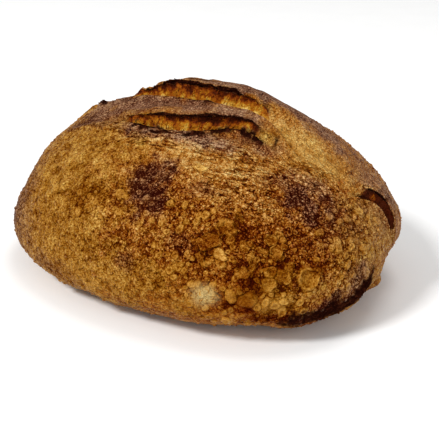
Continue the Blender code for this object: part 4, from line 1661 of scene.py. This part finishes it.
class SCENE_OT_loaf_stage(bpy.types.Operator):
    """Sets the floor, the soft studio light and the camera"""

    bl_idname = "scene.loaf_stage"
    bl_label = "Stage"

    def execute(self, context):
        scene = context.scene
        bpy.ops.object.select_all(action="DESELECT")
        bpy.ops.mesh.primitive_plane_add(size=8.0, location=(0, 0, 0))
        floor = context.object
        floor.name = "floor"
        floor.data.transform(Matrix.Translation((0, 0, -0.0002)))
        paper = Finish("pale_paper")
        plain = Vector(scene.loaf_colours.floor)
        grain = paper.noise(0.05, 2.0, 0.5)
        shaded = paper.mix(grain, (*(0.985 * plain), 1.0), (*(1.015 * plain), 1.0))
        paper.feed(paper.shader.inputs["Base Color"], shaded)
        paper.shader.inputs["Roughness"].default_value = 0.9
        paper.shader.inputs["Specular IOR Level"].default_value = 0.1
        floor.data.materials.append(paper.material)
        world = bpy.data.worlds.new("studio")
        world.use_nodes = True
        world.node_tree.nodes["Background"].inputs["Color"].default_value = (1.0, 1.0, 1.0, 1.0)
        world.node_tree.nodes["Background"].inputs["Strength"].default_value = 0.46
        scene.world = world
        lamps = (
            ("key", (-1.15, -1.95, 2.30), 0.8, 76.0),
            ("fill", (2.20, -1.30, 1.30), 2.0, 14.0),
            ("top", (0.25, 0.80, 3.00), 1.4, 24.0),
        )
        for name, place, width, power in lamps:
            bpy.ops.object.light_add(type="AREA", location=place)
            lamp = context.object
            lamp.name = name
            lamp.data.shape = "DISK"
            lamp.data.size = width
            lamp.data.energy = power
            lamp.rotation_euler = (Vector((0, 0, 0.05)) - Vector(place)).to_track_quat("-Z", "Y").to_euler()
        eye = Vector((0.20774, -0.45134, 0.24193))
        bpy.ops.object.camera_add(location=eye)
        camera = context.object
        azimuth, elevation = math.radians(25.0), math.radians(22.0)
        camera.rotation_euler = (math.pi / 2 - elevation, 0.0, azimuth)
        camera.data.lens = 70.65
        camera.data.sensor_width = 36.0
        camera.data.shift_x = 0.0502
        camera.data.shift_y = -0.0457
        camera.data.clip_start = 0.01
        scene.camera = camera
        scene.view_settings.view_transform = "Standard"
        return {"FINISHED"}


class VIEW3D_PT_loaf(bpy.types.Panel):
    bl_idname = "VIEW3D_PT_loaf"
    bl_label = "Sourdough loaf"
    bl_space_type = "VIEW_3D"
    bl_region_type = "UI"
    bl_category = "Loaf"

    def draw(self, context):
        for kind in OPERATORS:
            self.layout.operator(kind.bl_idname)
        for group in (context.scene.loaf_sizes, context.scene.loaf_colours):
            for name in type(group).__annotations__:
                self.layout.prop(group, name)


OPERATORS = (OBJECT_OT_loaf_crust, OBJECT_OT_loaf_blisters, OBJECT_OT_loaf_shreds, SCENE_OT_loaf_stage)
CLASSES = (LoafSizes, LoafColours, *OPERATORS, VIEW3D_PT_loaf)


def register():
    for kind in CLASSES:
        bpy.utils.register_class(kind)
    bpy.types.Scene.loaf_sizes = bpy.props.PointerProperty(type=LoafSizes)
    bpy.types.Scene.loaf_colours = bpy.props.PointerProperty(type=LoafColours)


def unregister():
    del bpy.types.Scene.loaf_colours
    del bpy.types.Scene.loaf_sizes
    for kind in reversed(CLASSES):
        bpy.utils.unregister_class(kind)


def main():
    register()
    bpy.ops.object.loaf_crust()
    bpy.ops.object.loaf_blisters()
    bpy.ops.object.loaf_shreds()
    bpy.ops.scene.loaf_stage()


if __name__ == "__main__":
    main()
